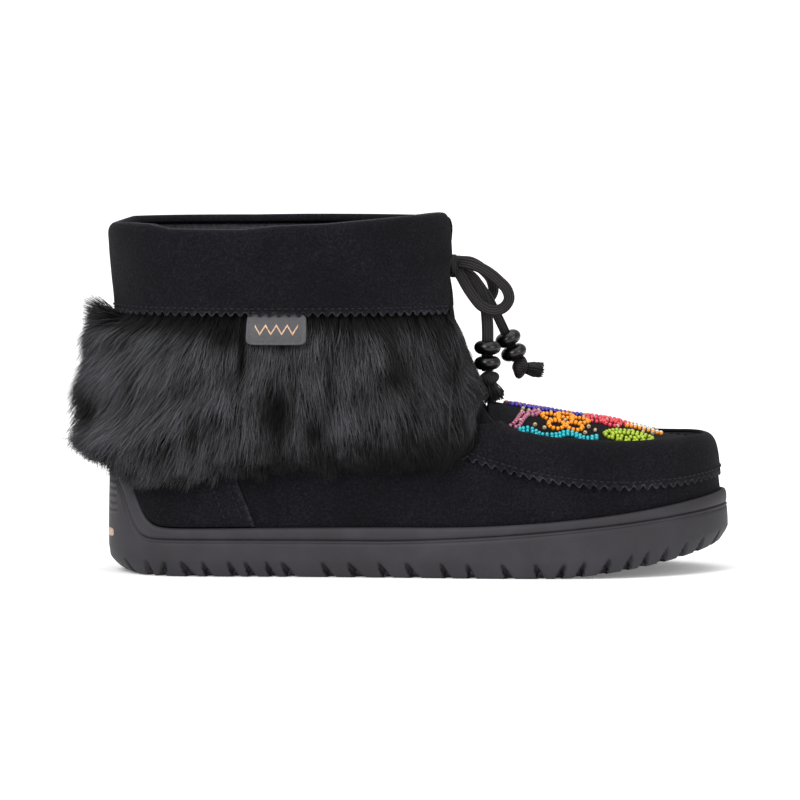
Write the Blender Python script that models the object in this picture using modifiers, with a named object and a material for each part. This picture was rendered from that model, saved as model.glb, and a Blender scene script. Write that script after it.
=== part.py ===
"""A right-foot mukluk boot: a rubber cupsole, a suede moccasin upper, a fur ruff, a folded cuff and a tie lace.

All sizes are millimetres. X runs from the back of the heel to the toe, Y to the inner side of the foot and Z up.
A column of the boot has a number u: 0 at the back of the heel, negative along the outer side, positive along the
inner side, and 1 or -1 at the toe. A row of the upper has a number v: 0 at the sole's rim and 1 at the top edge.
"""

import math
from collections import namedtuple

import bmesh
import bpy
import numpy as np
from mathutils import Vector

MM = 0.001

# The outsole's plan
SOLE_LENGTH = 280.0
HEEL_SEAT = 38.0  # from the back of the heel to the origin, under the middle of the heel
HEEL_ROUND = 38.0
TOE_ROUND = 62.0
TOE_TURN = 6.0  # the toe's drift to the inner side
TOE_TURN_START = 160.0
HALF_COLUMNS = 32  # columns on each side of the foot

# The outsole's heights
SPRING_START = 200.0
TOE_SPRING = 15.0
SPRING_POWER = 1.35
TREAD_DEPTH = 4.5
NOTCH_TOP = 6.2
GROOVE_HEIGHT = 17.2
GROOVE_TOE_RISE = 14.0
GROOVE_RISE_START = 120.0
GROOVE_RISE_POWER = 1.6
RIM_HEIGHT = 22.5
RIM_TOE_RISE = 14.0
RIM_RISE_START = 140.0
RIM_RISE_POWER = 1.9
HEEL_TAB_RISE = 31.5  # how far the rim climbs the back of the heel
RIM_TAB_REACH = 12.0
RIM_TAB_BLEND = 2.0
GROOVE_TAB_REACH = 8.0
GROOVE_TAB_BLEND = 2.5
FLOOR_HEIGHT = 14.0
FLOOR_SPRING = 0.8
RIM_LIP = 3.4
RIM_INSET = 1.4
GROOVE_HALF = 0.8
GROOVE_INSET = 2.1
UNDER_GROOVE_INSET = 0.6
OVER_GROOVE_INSET = 0.7

# The outsole's lugs
NOTCH_CUT = 3.2
RECESS_SLOPE = 1.5
LUG_LENGTH = 14.0
EDGE_INSET = 1.6
EDGE_INSET_ENDS = 4.2
BAR_WIDTH = 8.0
BAR_PLACES = (60.0, 80.0, 140.0, 158.0, 206.0, 228.0)  # from the back of the heel
PAD_PLACES = (HEEL_SEAT, 182.0)
BAR_CHEVRON = 5.0
BAR_MARGIN = 20.0
PAD_RADIUS = 11.0
BAR_ROOT = 1.0  # how deep a bar or a pad is rooted in the sole

# The upper
GAP = 0.3
WALL = 2.5
COLLAR_BACK = 3.5
COLLAR_HALF_LENGTH = 74.75
COLLAR_HALF_WIDTH = 44.0
COLLAR_HEIGHT = 154.5
COLLAR_END_DEG = 169.0
CORNER = 17 / HALF_COLUMNS  # column of the collar's front corner
SEAM_START = 0.70
SEAM_INSET = 13.6
SEAM_HEIGHT = 59.4
UPPER_ROWS = (0.0, 0.15, 0.31, 0.46, 0.61, 0.75, 0.89, 1.0)

# The pieces sewn to the upper
OVERLAY = 1.4
OVERLAY_OUT = GAP + OVERLAY
TOOTH = 4.4
TOOTH_DEPTH = 1.9
VALLEY = 0.2
BAND_START = 17
BAND_TOP = 0.89
BAND_STEP = 0.02  # the least distance between two rows of the band
BAND_LIFT = 0.15
BAND_REAR_LIFT = 1.1  # more room beside the instep, where the upper turns
BAND_REAR_FROM = (0.58, 0.61)  # columns over which that room opens
BAND_REAR_TO = (0.69, 0.75)  # columns over which it closes
BAND_CAP = 68.0
BAND_CAP_END = 0.65  # column up to which the cap holds
BAND_WIDTH_MIN = 12.0
BAND_MATCH_FROM = 0.3  # the lowest of the upper's rows that the band shares
COUNTER_TOP = 78.0
COUNTER_COLUMNS = 8  # columns it shares with the sole on each side, before its slanted edge
COUNTER_LIFT = 0.2
COUNTER_CLEAR = 0.7
COUNTER_FORWARD = 0.5
PLUG_WALL = 2.0
PLUG_EASE = 0.9
PLUG_START = 20  # column of the plug's rear edge
PLUG_ACROSS = 6
CUFF_WALL = 1.8
CUFF_EDGE = 116.6
CUFF_PULL = 3.0  # how far the lace draws the inner side's slit edge forward
CUFF_PULL_Z = 137.5
CUFF_PULL_SPREAD = 11.0
CUFF_PULL_POWER = 12

# The fur ruff
FUR_TOP = 120.6
FUR_END = 19  # column where the ruff stops beside the throat
FUR_SKIN = 2.3  # the pelt's outer face where it is tucked under the cuff
LOCK_SWELL = 2.6
LOCK_DROP = 4.0
LOCK_WAVE = 0.5
FUR_BELOW_EDGE = 1.5
PELT_BACK = 1.4  # from the upper to the pelt's back at its top
PELT_END = 0.8  # more of that beside the throat

# The insole and the tongue
INSOLE = 4.5
INSOLE_DRAFT = 0.8
TONGUE = 3.0
TONGUE_ACROSS = 7

# The side tag
TAG_LENGTH = 26.4
TAG_FROM = 63.2
TAG_BOTTOM = 104.4
TAG_TOP = 116.2
TAG_OUT = 8.6  # from the upper to the tag's inner face at its foot
TAG_THICK = 1.8
TAG_CORNER = 2.2
TAG_TUCK = 4.6  # how far the tag leans in under the cuff
TAG_MARGIN = 6.0

# The lace
LACE_WIDTH = 5.0
LACE_THICK = 1.5
CORD_RADIUS = 1.5
BAR_HEIGHT = 139.0
BAR_FRONT = 151.4
KNOT_CENTRE = (155.5, -0.5, 137.5)
KNOT_SIZE = (3.4, 3.9, 4.2)
BAR_SAG = 1.0
BEAD_RADIUS = 6.1
BEAD_HALF_HEIGHT = 3.2
BEAD_HOLE = 2.0

Width = namedtuple("Width", "x outer inner")
SOLE_WIDTHS = (
    Width(0, 36.5, 35.5),
    Width(40, 38.0, 36.5),
    Width(90, 40.0, 34.0),
    Width(135, 44.5, 37.0),
    Width(175, 49.5, 45.0),
    Width(205, 51.0, 50.5),
    Width(240, 50.5, 51.5),
    Width(280, 49.0, 50.0),
)

Notch = namedtuple("Notch", "x width lean")  # lean: how far forward the notch's top is from its foot
NOTCHES = (
    Notch(1.1, 3.0, 0.0),
    Notch(9.5, 3.0, -2.5),
    Notch(18.4, 4.2, -0.4),
    Notch(24.2, 3.2, 2.1),
    Notch(39.0, 5.0, -5.5),
    Notch(47.0, 3.4, -4.0),
    Notch(58.7, 3.4, -3.9),
    Notch(66.2, 3.4, -3.9),
    Notch(75.2, 3.2, -3.6),
    Notch(83.8, 4.6, -5.0),
    Notch(101.0, 3.6, -4.3),
    Notch(113.7, 5.4, -5.4),
    Notch(126.4, 4.2, -4.5),
    Notch(138.7, 4.6, -4.6),
    Notch(153.1, 3.2, -3.6),
    Notch(163.6, 3.2, -2.3),
    Notch(180.8, 3.8, -4.1),
    Notch(194.8, 3.6, -3.1),
    Notch(201.8, 3.4, 3.2),
    Notch(210.6, 3.6, 3.4),
    Notch(221.8, 4.0, 3.4),
    Notch(232.4, 3.6, 3.0),
    Notch(240.4, 3.4, 2.5),
    Notch(249.4, 4.0, 2.3),
    Notch(258.5, 3.4, 2.0),
    Notch(266.7, 3.4, 1.8),
    Notch(274.6, 3.2, 1.8),
)
TOE_NOTCH_WIDTH = 3.6

Throat = namedtuple("Throat", "column x half_width z")
THROAT = (
    Throat(0.5625, 155.2, 10.0, 122.0),
    Throat(0.5938, 160.6, 15.5, 94.0),
    Throat(0.6250, 171.5, 26.0, 74.5),
    Throat(0.6620, 190.0, 33.0, 65.0),
)

Form = namedtuple("Form", "column swell rise reach lift")
UPPER_FORM = (
    Form(0.00, 0.5, 0.30, -6.0, -40.0),
    Form(0.12, 1.0, 0.30, -5.0, -40.0),
    Form(0.25, 2.5, 0.28, -2.0, -45.0),
    Form(0.40, 3.0, 0.28, 0.0, -45.0),
    Form(0.53, 4.0, 0.30, 3.0, -42.0),
    Form(0.56, 4.0, 0.36, 9.0, -24.0),
    Form(0.585, 3.5, 0.46, 14.0, -8.0),
    Form(0.615, 3.0, 0.58, 14.0, 0.0),
    Form(0.66, 2.5, 0.68, 12.0, 3.5),
    Form(0.75, 1.6, 0.72, 10.5, 4.5),
    Form(0.90, 0.6, 0.70, 9.0, 4.5),
    Form(1.00, -0.6, 0.70, 7.5, 4.5),
)

BandEdge = namedtuple("BandEdge", "column z")
BAND_EDGE = (
    BandEdge(0.50, 55.6),
    BandEdge(0.55, 52.1),
    BandEdge(0.60, 46.2),
    BandEdge(0.65, 41.9),
    BandEdge(0.70, 39.5),
    BandEdge(0.80, 39.8),
    BandEdge(0.90, 42.0),
    BandEdge(1.00, 43.2),
)

CounterEdge = namedtuple("CounterEdge", "z column")
COUNTER_EDGE = (
    CounterEdge(23.0, 0.3245),
    CounterEdge(48.0, 0.2980),
    CounterEdge(80.0, 0.2800),
)

Ridge = namedtuple("Ridge", "x z")
PLUG_RIDGE = (
    Ridge(165, 79.2),
    Ridge(180, 76.6),
    Ridge(192, 73.8),
    Ridge(205, 70.9),
    Ridge(218, 68.3),
    Ridge(232, 65.4),
    Ridge(245, 62.2),
    Ridge(254, 59.6),
    Ridge(268, 58.7),
)

CuffRow = namedtuple("CuffRow", "out z")
CUFF_ROWS = (
    CuffRow(5.5, CUFF_EDGE),
    CuffRow(5.5, CUFF_EDGE + TOOTH_DEPTH),
    CuffRow(5.3, 134.0),
    CuffRow(4.4, 153.5),
    CuffRow(1.6, 158.5),
    CuffRow(-4.0, 158.3),
    CuffRow(-5.3, 152.0),
)

FurSpan = namedtuple("FurSpan", "column thick hem inner")
FUR_SPAN = (
    FurSpan(0.00, 22.0, 51.0, 5.2),
    FurSpan(0.10, 20.0, 47.0, 5.0),
    FurSpan(0.22, 15.5, 43.5, 2.6),
    FurSpan(0.35, 13.0, 45.0, 2.6),
    FurSpan(0.48, 11.5, 48.0, 4.2),
    FurSpan(0.54, 9.0, 54.0, 4.2),
    FurSpan(0.595, 6.5, 64.0, 4.2),
)
FurRow = namedtuple("FurRow", "share full lock")
FUR_ROWS = (
    FurRow(0.00, 0.00, 0.0),
    FurRow(0.06, 0.06, 0.0),
    FurRow(0.14, 0.62, 0.5),
    FurRow(0.30, 0.92, 1.0),
    FurRow(0.62, 1.00, 1.0),
    FurRow(0.86, 0.90, 1.1),
    FurRow(1.00, 0.36, 0.6),
)

TongueRow = namedtuple("TongueRow", "x z half_width round")
TONGUE_ROWS = (
    TongueRow(188.0, 70.6, 13.0, 34.0),
    TongueRow(180.0, 72.7, 15.0, 34.0),
    TongueRow(173.0, 74.3, 16.5, 32.0),
    TongueRow(166.0, 79.0, 17.0, 28.0),
    TongueRow(160.2, 88.0, 17.0, 24.0),
    TongueRow(155.8, 100.0, 16.5, 22.0),
    TongueRow(152.4, 114.0, 16.0, 21.0),
    TongueRow(149.8, 130.0, 15.5, 20.0),
    TongueRow(148.2, 145.0, 14.0, 20.0),
)

# Routes of the lace, from the knot outward
LOOP_NEAR = (
    (158.6, -4.0, 139.0),
    (163.9, -6.6, 138.1),
    (170.2, -8.8, 135.4),
    (176.1, -10.0, 130.8),
    (179.7, -10.6, 126.8),
    (180.6, -10.6, 122.7),
    (178.4, -10.4, 119.1),
    (173.8, -9.8, 117.5),
    (168.4, -8.8, 119.5),
    (164.4, -7.8, 124.1),
    (161.2, -6.4, 129.0),
    (158.6, -4.8, 133.6),
)
LOOP_FAR = (
    (158.2, 3.0, 139.4),
    (163.8, 8.6, 138.4),
    (169.0, 12.8, 135.0),
    (173.0, 15.6, 130.0),
    (173.8, 16.4, 124.6),
    (171.0, 15.0, 120.8),
    (166.8, 12.0, 121.4),
    (163.2, 8.8, 125.2),
    (160.0, 5.6, 131.2),
)
END_NEAR = (
    (159.4, -1.5, 135.3),
    (164.4, -2.6, 131.6),
    (167.8, -3.2, 126.6),
    (170.0, -3.6, 120.1),
    (170.9, -3.9, 112.5),
    (171.1, -4.0, 105.0),
    (170.9, -4.0, 97.5),
    (171.1, -4.0, 89.9),
)
END_FAR = (
    (158.8, 1.9, 135.2),
    (164.8, 4.4, 131.4),
    (169.0, 6.2, 126.0),
    (172.8, 7.6, 119.8),
    (175.9, 8.8, 113.6),
    (179.0, 9.9, 107.0),
    (181.6, 10.7, 101.0),
    (184.4, 11.6, 94.0),
)
Strung = namedtuple("Strung", "name route from_end")
BEADS = (
    Strung("bead_near_top", END_NEAR, 10.6),
    Strung("bead_near_low", END_NEAR, 3.7),
    Strung("bead_far_top", END_FAR, 10.6),
    Strung("bead_far_low", END_FAR, 3.7),
)
STOPPERS = (
    Strung("stopper_near", END_NEAR, -0.3),
    Strung("stopper_far", END_FAR, -0.3),
)
STOPPER_PROFILE = (
    (0.0, 0.0), (2.6, -0.5), (4.2, -2.8), (3.5, -5.0), (1.8, -6.2), (2.0, -7.4), (3.2, -9.8), (0.0, -10.2),
)

Finish = namedtuple("Finish", "hex roughness metallic")
SUEDE = Finish("17161a", 0.95, 0.0)
FUR = Finish("1b1b1d", 0.60, 0.0)
RUBBER = Finish("434246", 0.62, 0.0)
LINING = Finish("3c3c40", 0.95, 0.0)
FOAM = Finish("2b2b2e", 0.90, 0.0)
TAG_RUBBER = Finish("5c5c5e", 0.55, 0.0)
BRAID = Finish("1c1a1b", 0.85, 0.0)
BEAD_GLOSS = Finish("0b0b0c", 0.15, 0.0)


def start_empty():
    """An empty scene with one collection for the boot and one for the shapes that are joined or cut."""
    for item in list(bpy.data.objects):
        bpy.data.objects.remove(item)
    boot = bpy.data.collections.new("mukluk_boot")
    tools = bpy.data.collections.new("tools")
    bpy.context.scene.collection.children.link(boot)
    bpy.context.scene.collection.children.link(tools)
    return boot, tools


def linear(channel):
    """One sRGB channel, 0 to 1, as linear light."""
    return channel / 12.92 if channel <= 0.04045 else ((channel + 0.055) / 1.055) ** 2.4


def material_for(name, finish):
    """A Principled material of the finish's colour, roughness and metallic value."""
    material = bpy.data.materials.new(name)
    material.use_nodes = True
    shader = material.node_tree.nodes["Principled BSDF"]
    channels = [linear(int(finish.hex[i : i + 2], 16) / 255) for i in (0, 2, 4)]
    shader.inputs["Base Color"].default_value = (*channels, 1.0)
    shader.inputs["Roughness"].default_value = finish.roughness
    shader.inputs["Metallic"].default_value = finish.metallic
    return material


def add_piece(collection, name, points, faces, finish, wall=0.0):
    """One smooth mesh object from points in millimetres, given a wall under its outer face where wall is set."""
    mesh = bpy.data.meshes.new(name)
    placed = (np.asarray(points, float) - (HEEL_SEAT, 0.0, 0.0)) * MM
    mesh.from_pydata(placed.tolist(), [], [tuple(int(i) for i in face) for face in faces])
    piece = bpy.data.objects.new(name, mesh)
    collection.objects.link(piece)
    mesh.materials.append(material_for(name, finish))
    mesh.shade_smooth()
    if wall:
        shell = piece.modifiers.new("wall", "SOLIDIFY")
        shell.thickness = wall * MM
        shell.offset = -1.0
        return piece
    turned = bmesh.new()
    turned.from_mesh(mesh)
    bmesh.ops.recalc_face_normals(turned, faces=turned.faces)
    turned.to_mesh(mesh)
    turned.free()
    return piece


def table_curve(keys, values, at):
    """A smooth curve through a table's rows: cubic pieces whose slopes come from the neighbouring rows."""
    keys = np.asarray(keys, float)
    values = np.asarray(values, float)
    at = np.clip(at, keys[0], keys[-1])
    slopes = np.gradient(values, keys)
    i = np.clip(np.searchsorted(keys, at, side="right") - 1, 0, len(keys) - 2)
    span = keys[i + 1] - keys[i]
    s = (at - keys[i]) / span
    start = (1 + 2 * s) * (1 - s) ** 2 * values[i] + s * (1 - s) ** 2 * span * slopes[i]
    end = s**2 * (3 - 2 * s) * values[i + 1] + s**2 * (s - 1) * span * slopes[i + 1]
    return start + end


def column_table(table, field, at):
    """A named column of a table, read at any value of its first column."""
    return table_curve([row[0] for row in table], [getattr(row, field) for row in table], at)


def wrapped(u):
    """The same column as a number from -1 to 1."""
    return (np.asarray(u, float) + 1.0) % 2.0 - 1.0


def sole_x(u):
    """How far forward a column stands on the sole: a cosine, so that columns gather at the heel and toe."""
    return SOLE_LENGTH * (1.0 - np.cos(np.pi * np.abs(wrapped(u)))) / 2.0


def sole_axis(x):
    """The foot's centre line in plan, which turns inward at the toe."""
    return TOE_TURN * np.clip((x - TOE_TURN_START) / (SOLE_LENGTH - TOE_TURN_START), 0.0, 1.0) ** 2


def outline_point(u):
    """The sole's widest outline in plan: table widths closed by a round heel and a round toe."""
    u = wrapped(u)
    x = sole_x(u)
    width = np.where(u < 0, column_table(SOLE_WIDTHS, "outer", x), column_table(SOLE_WIDTHS, "inner", x))
    heel = 1.0 - np.clip((HEEL_ROUND - x) / HEEL_ROUND, 0.0, 1.0) ** 2
    toe = 1.0 - np.clip((x - SOLE_LENGTH + TOE_ROUND) / TOE_ROUND, 0.0, 1.0) ** 2
    y = sole_axis(x) + np.sign(u) * width * np.sqrt(np.clip(heel * toe, 0.0, 1.0))
    return np.stack([x, y], -1)


def outline_normal(u):
    """The direction out of the sole in plan, across the outline's tangent."""
    step = 1e-3
    along = outline_point(np.asarray(u) + step) - outline_point(np.asarray(u) - step)
    across = np.stack([-along[..., 1], along[..., 0]], -1)
    return across / np.linalg.norm(across, axis=-1, keepdims=True)


def outline(u, inset=0.0):
    """The sole's outline moved in by inset."""
    return outline_point(u) - outline_normal(u) * np.asarray(inset)[..., None]


def in_space(plan, z):
    """Points in plan lifted to their heights."""
    return np.concatenate([plan, np.broadcast_to(z, plan.shape[:-1])[..., None]], -1)


def toe_spring(x):
    """How far the sole's underside has left the ground."""
    return TOE_SPRING * np.clip((x - SPRING_START) / (SOLE_LENGTH - SPRING_START), 0.0, 1.0) ** SPRING_POWER


def toe_rise(x, height, start, power):
    """A line of the sole's side that climbs towards the toe."""
    return height * np.clip((x - start) / (SOLE_LENGTH - start), 0.0, 1.0) ** power


def tab_rise(x, reach, blend):
    """The S-curve by which a line of the sole's side climbs the back of the heel."""
    return HEEL_TAB_RISE / (1.0 + np.exp((x - reach) / blend))


def rim_top(x):
    """The height of the rim's top edge."""
    side = RIM_HEIGHT + toe_rise(x, RIM_TOE_RISE, RIM_RISE_START, RIM_RISE_POWER)
    return side + tab_rise(x, RIM_TAB_REACH, RIM_TAB_BLEND)


def groove_line(x):
    """The height of the groove under the rim."""
    side = GROOVE_HEIGHT + toe_rise(x, GROOVE_TOE_RISE, GROOVE_RISE_START, GROOVE_RISE_POWER)
    return side + tab_rise(x, GROOVE_TAB_REACH, GROOVE_TAB_BLEND)


def cup_floor(x):
    """The height of the floor inside the cupsole."""
    return FLOOR_HEIGHT + FLOOR_SPRING * toe_spring(x)


def all_columns():
    """The columns that the sole, the insole and the upper share, from the toe by the outer side and back."""
    return np.arange(-HALF_COLUMNS, HALF_COLUMNS) / HALF_COLUMNS


def lattice_faces(columns, rows, closed):
    """Quads of points stored column by column, facing out where columns run as all_columns and rows run up."""
    last = columns if closed else columns - 1
    quads = []
    for i in range(last):
        here = i * rows
        after = (i + 1) % columns * rows
        for j in range(rows - 1):
            quads.append((here + j, here + j + 1, after + j + 1, after + j))
    return quads


def bridge(chain_a, keys_a, chain_b, keys_b):
    """Triangles between two chains of points, going forward on whichever chain's next key is lower."""
    i, j, triangles = 0, 0, []
    while i < len(chain_a) - 1 or j < len(chain_b) - 1:
        on_a = j == len(chain_b) - 1 or (i < len(chain_a) - 1 and keys_a[i + 1] <= keys_b[j + 1])
        if on_a:
            triangles.append((chain_a[i], chain_a[i + 1], chain_b[j]))
            i += 1
        else:
            triangles.append((chain_a[i], chain_b[j + 1], chain_b[j]))
            j += 1
    return triangles


def cross_cap(ring, keys):
    """Closes a ring by triangles between its outer side and its inner side, matched from toe to heel by x."""
    heel = int(np.argmin(keys))
    outer = list(ring[: heel + 1])
    inner = [ring[0], *ring[: heel - 1 : -1]]
    outer_keys = [-k for k in keys[: heel + 1]]
    inner_keys = [-keys[0], *[-k for k in keys[: heel - 1 : -1]]]
    return [t for t in bridge(outer, outer_keys, inner, inner_keys) if len(set(t)) == 3]


def lug_columns():
    """Column numbers along the tread, three to a notch, at the ground and at the wall over it, from toe to toe.

    A notch has an edge on each side of its middle, and its lean moves all three along the wall."""
    u = np.linspace(-1.0, 1.0, 2001)
    points = outline_point(u)
    length = np.concatenate([[0.0], np.cumsum(np.linalg.norm(np.diff(points, axis=0), axis=1))])
    whole = length[-1]
    rows = [(0.0, TOE_NOTCH_WIDTH, 0.0)]
    for notch in NOTCHES:
        column = math.acos(1.0 - 2.0 * notch.x / SOLE_LENGTH) / math.pi
        rows.append((float(np.interp(-column, u, length)), notch.width, -notch.lean))
        rows.append((float(np.interp(column, u, length)), notch.width, notch.lean))
    place, width, lean = np.array(sorted(rows)).T
    foot = place[:, None] + width[:, None] * np.array([-0.5, 0.0, 0.5])
    ring = np.concatenate([length[:-1] - whole, length])
    ring_u = np.concatenate([u[:-1] - 2.0, u])
    over = foot + lean[:, None]
    return np.interp(foot.reshape(-1), ring, ring_u), np.interp(over.reshape(-1), ring, ring_u)


def outsole_tread():
    """Rings of the lugs: the recess's edge, the lugs' inner and outer ends, and the wall over the notches."""
    u, u_top = lug_columns()
    notch = np.tile([0.0, 1.0, 0.0], len(u) // 3)
    x = sole_x(u)
    ground = toe_spring(x)
    ends = np.abs(2.0 * x / SOLE_LENGTH - 1.0) ** 6
    edge = EDGE_INSET + (EDGE_INSET_ENDS - EDGE_INSET) * ends
    recess = in_space(outline(u, edge + LUG_LENGTH + RECESS_SLOPE), ground + TREAD_DEPTH)
    inner_end = in_space(outline(u, edge + LUG_LENGTH), ground + TREAD_DEPTH * notch)
    outer_end = in_space(outline(u, edge + NOTCH_CUT * notch), ground + TREAD_DEPTH * notch)
    over = in_space(outline(u_top), toe_spring(sole_x(u_top)) + NOTCH_TOP)
    return u_top, [recess, inner_end, outer_end, over]


def outsole_wall(u):
    """Rings of the sole's side from over the notches to the cup's floor."""
    x = sole_x(u)
    groove = groove_line(x)
    rim = rim_top(x)
    return [
        in_space(outline(u, UNDER_GROOVE_INSET), groove - GROOVE_HALF),
        in_space(outline(u, GROOVE_INSET), groove),
        in_space(outline(u, OVER_GROOVE_INSET), groove + GROOVE_HALF),
        in_space(outline(u, RIM_INSET), rim),
        in_space(outline(u, RIM_LIP), rim),
        in_space(outline(u, RIM_LIP), cup_floor(x)),
    ]


def tread_bars():
    """Points and faces of the chevron bars that stand in the tread's recess."""
    points, faces = [], []
    for x in BAR_PLACES:
        half = float(np.interp(x, [r.x for r in SOLE_WIDTHS], [min(r.outer, r.inner) for r in SOLE_WIDTHS]))
        half = half * math.sqrt(1 - max(0.0, (x - SOLE_LENGTH + TOE_ROUND) / TOE_ROUND) ** 2) - BAR_MARGIN
        middle = float(sole_axis(x))
        corners = [(-half, -BAR_CHEVRON), (0.0, 0.0), (half, -BAR_CHEVRON)]
        loop = [(x + dx, middle + y) for y, dx in corners]
        loop += [(px + BAR_WIDTH, py) for px, py in reversed(loop)]
        add_prism(points, faces, loop)
    return points, faces


def add_prism(points, faces, loop):
    """A block from the tread's ground level to just inside the sole, over a loop in plan."""
    first, count = len(points), len(loop)
    for depth in (0.0, TREAD_DEPTH + BAR_ROOT):
        points.extend((px, py, float(toe_spring(px)) + depth) for px, py in loop)
    faces.append(tuple(range(first, first + count)))
    faces.append(tuple(range(first + 2 * count - 1, first + count - 1, -1)))
    for k in range(count):
        after = (k + 1) % count
        faces.append((first + k, first + after, first + count + after, first + count + k))


def add_outsole(collection, tools):
    """The cupsole: lugged underside, stepped side wall, rim, heel tab and the cup inside, as one solid."""
    u_top, tread = outsole_tread()
    u = all_columns()
    wall = outsole_wall(u)
    points = np.concatenate(tread + wall)
    low, high = len(u_top), len(u)
    faces = []
    for ring in range(3):
        a, b = ring * low, (ring + 1) * low
        faces += [(a + k, b + k, b + (k + 1) % low, a + (k + 1) % low) for k in range(low)]
    first = 4 * low
    lower = [3 * low + k for k in range(low)] + [3 * low]
    upper = [first + k for k in range(high)] + [first]
    order = np.append(u_top, u_top[0] + 2.0)
    faces += bridge(lower, list(order), upper, list(np.append(u, 1.0)))
    for ring in range(len(wall) - 1):
        a, b = first + ring * high, first + (ring + 1) * high
        faces += [(a + k, b + k, b + (k + 1) % high, a + (k + 1) % high) for k in range(high)]
    faces += cross_cap(list(range(low)), list(tread[0][:, 0]))
    top = first + (len(wall) - 1) * high
    faces += cross_cap(list(range(top, top + high)), list(wall[-1][:, 0]))
    sole = add_piece(collection, "outsole", points, faces, RUBBER)
    joined = [add_piece(tools, "tread_bars", *tread_bars(), RUBBER)]
    for x in PAD_PLACES:
        depth = (TREAD_DEPTH + BAR_ROOT) * MM
        bpy.ops.mesh.primitive_cylinder_add(
            vertices=10, radius=PAD_RADIUS * MM, depth=depth, location=((x - HEEL_SEAT) * MM, 0.0, depth / 2)
        )
        pad = bpy.context.object
        pad.name = f"tread_pad_{x:.0f}"
        bpy.context.collection.objects.unlink(pad)
        tools.objects.link(pad)
        joined.append(pad)
    for shape in joined:
        shape.hide_render = True
        shape.display_type = "WIRE"
        join = sole.modifiers.new(shape.name, "BOOLEAN")
        join.operation = "UNION"
        join.solver = "MANIFOLD"
        join.object = shape


def upper_edge(u):
    """The upper's top edge: the collar, then the throat down to the vamp, then the plug's seam to the toe."""
    u = wrapped(u)
    column, side = np.abs(u), np.where(u < 0, -1.0, 1.0)
    sweep = 1.0 - math.cos(math.radians(COLLAR_END_DEG))
    turn = np.arccos(np.clip(1.0 - sweep * sole_x(u) / sole_x(CORNER), -1.0, 1.0))
    turn = np.minimum(turn, math.radians(COLLAR_END_DEG))
    collar = np.stack(
        [
            COLLAR_BACK + COLLAR_HALF_LENGTH * (1.0 - np.cos(turn)),
            side * COLLAR_HALF_WIDTH * np.sin(turn),
            np.full(u.shape, COLLAR_HEIGHT),
        ],
        -1,
    )
    seam = in_space(outline(u, SEAM_INSET), SEAM_HEIGHT)
    throat = throat_edge(column, side)
    on_collar = (column <= CORNER + 1e-9)[..., None]
    on_seam = (column >= SEAM_START)[..., None]
    return np.where(on_collar, collar, np.where(on_seam, seam, throat))


def throat_edge(column, side):
    """The throat's edge, a smooth line from the collar's corner by the table's rows to the start of the seam."""
    corner_turn = math.radians(COLLAR_END_DEG)
    corner = Throat(
        CORNER,
        COLLAR_BACK + COLLAR_HALF_LENGTH * (1.0 - math.cos(corner_turn)),
        COLLAR_HALF_WIDTH * math.sin(corner_turn),
        COLLAR_HEIGHT,
    )
    ends = outline(np.array([-SEAM_START, SEAM_START]), SEAM_INSET)
    lines = []
    for seam in ends:
        last = Throat(SEAM_START, seam[0], abs(seam[1] - sole_axis(seam[0])), SEAM_HEIGHT)
        rows = (corner, *THROAT, last)
        x = column_table(rows, "x", column)
        lines.append((x, column_table(rows, "half_width", column), column_table(rows, "z", column)))
    (x_outer, half_outer, z), (x_inner, half_inner, _) = lines
    x = np.where(side < 0, x_outer, x_inner)
    half = np.where(side < 0, half_outer, half_inner)
    return np.stack([x, sole_axis(x) + side * half, z], -1)


def upper_form(u, v):
    """The form of the upper's outer face: a cubic arch in each column from the sole's rim to the top edge."""
    u, v = np.broadcast_arrays(wrapped(u), np.asarray(v, float))
    column = np.abs(u)
    x = sole_x(u)
    start = in_space(outline(u, RIM_LIP + GAP), rim_top(x) + 0.8)
    end = upper_edge(u)
    out = in_space(outline_normal(u), 0.0)
    up = np.array([0.0, 0.0, 1.0])
    rise = column_table(UPPER_FORM, "rise", column) * (end[..., 2] - start[..., 2])
    swell = column_table(UPPER_FORM, "swell", column)
    reach = column_table(UPPER_FORM, "reach", column)
    lift = column_table(UPPER_FORM, "lift", column)
    first = start + out * swell[..., None] + up * rise[..., None]
    second = end + out * reach[..., None] + up * lift[..., None]
    t = v[..., None]
    return (1 - t) ** 3 * start + 3 * t * (1 - t) ** 2 * first + 3 * t**2 * (1 - t) * second + t**3 * end


def upper_point(u, v):
    """The upper's outer face as it is built: straight between the form's columns and rows."""
    u, v = np.broadcast_arrays(wrapped(u), np.asarray(v, float))
    rows = np.array(UPPER_ROWS)
    column = np.floor(u * HALF_COLUMNS + 1e-9)
    across = (u * HALF_COLUMNS - column)[..., None]
    row = np.clip(np.searchsorted(rows, v, side="right") - 1, 0, len(rows) - 2)
    along = ((v - rows[row]) / (rows[row + 1] - rows[row]))[..., None]
    low = upper_form(column / HALF_COLUMNS, rows[row]) * (1 - along)
    low += upper_form(column / HALF_COLUMNS, rows[row + 1]) * along
    after = upper_form((column + 1) / HALF_COLUMNS, rows[row]) * (1 - along)
    after += upper_form((column + 1) / HALF_COLUMNS, rows[row + 1]) * along
    return low * (1 - across) + after * across


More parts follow.
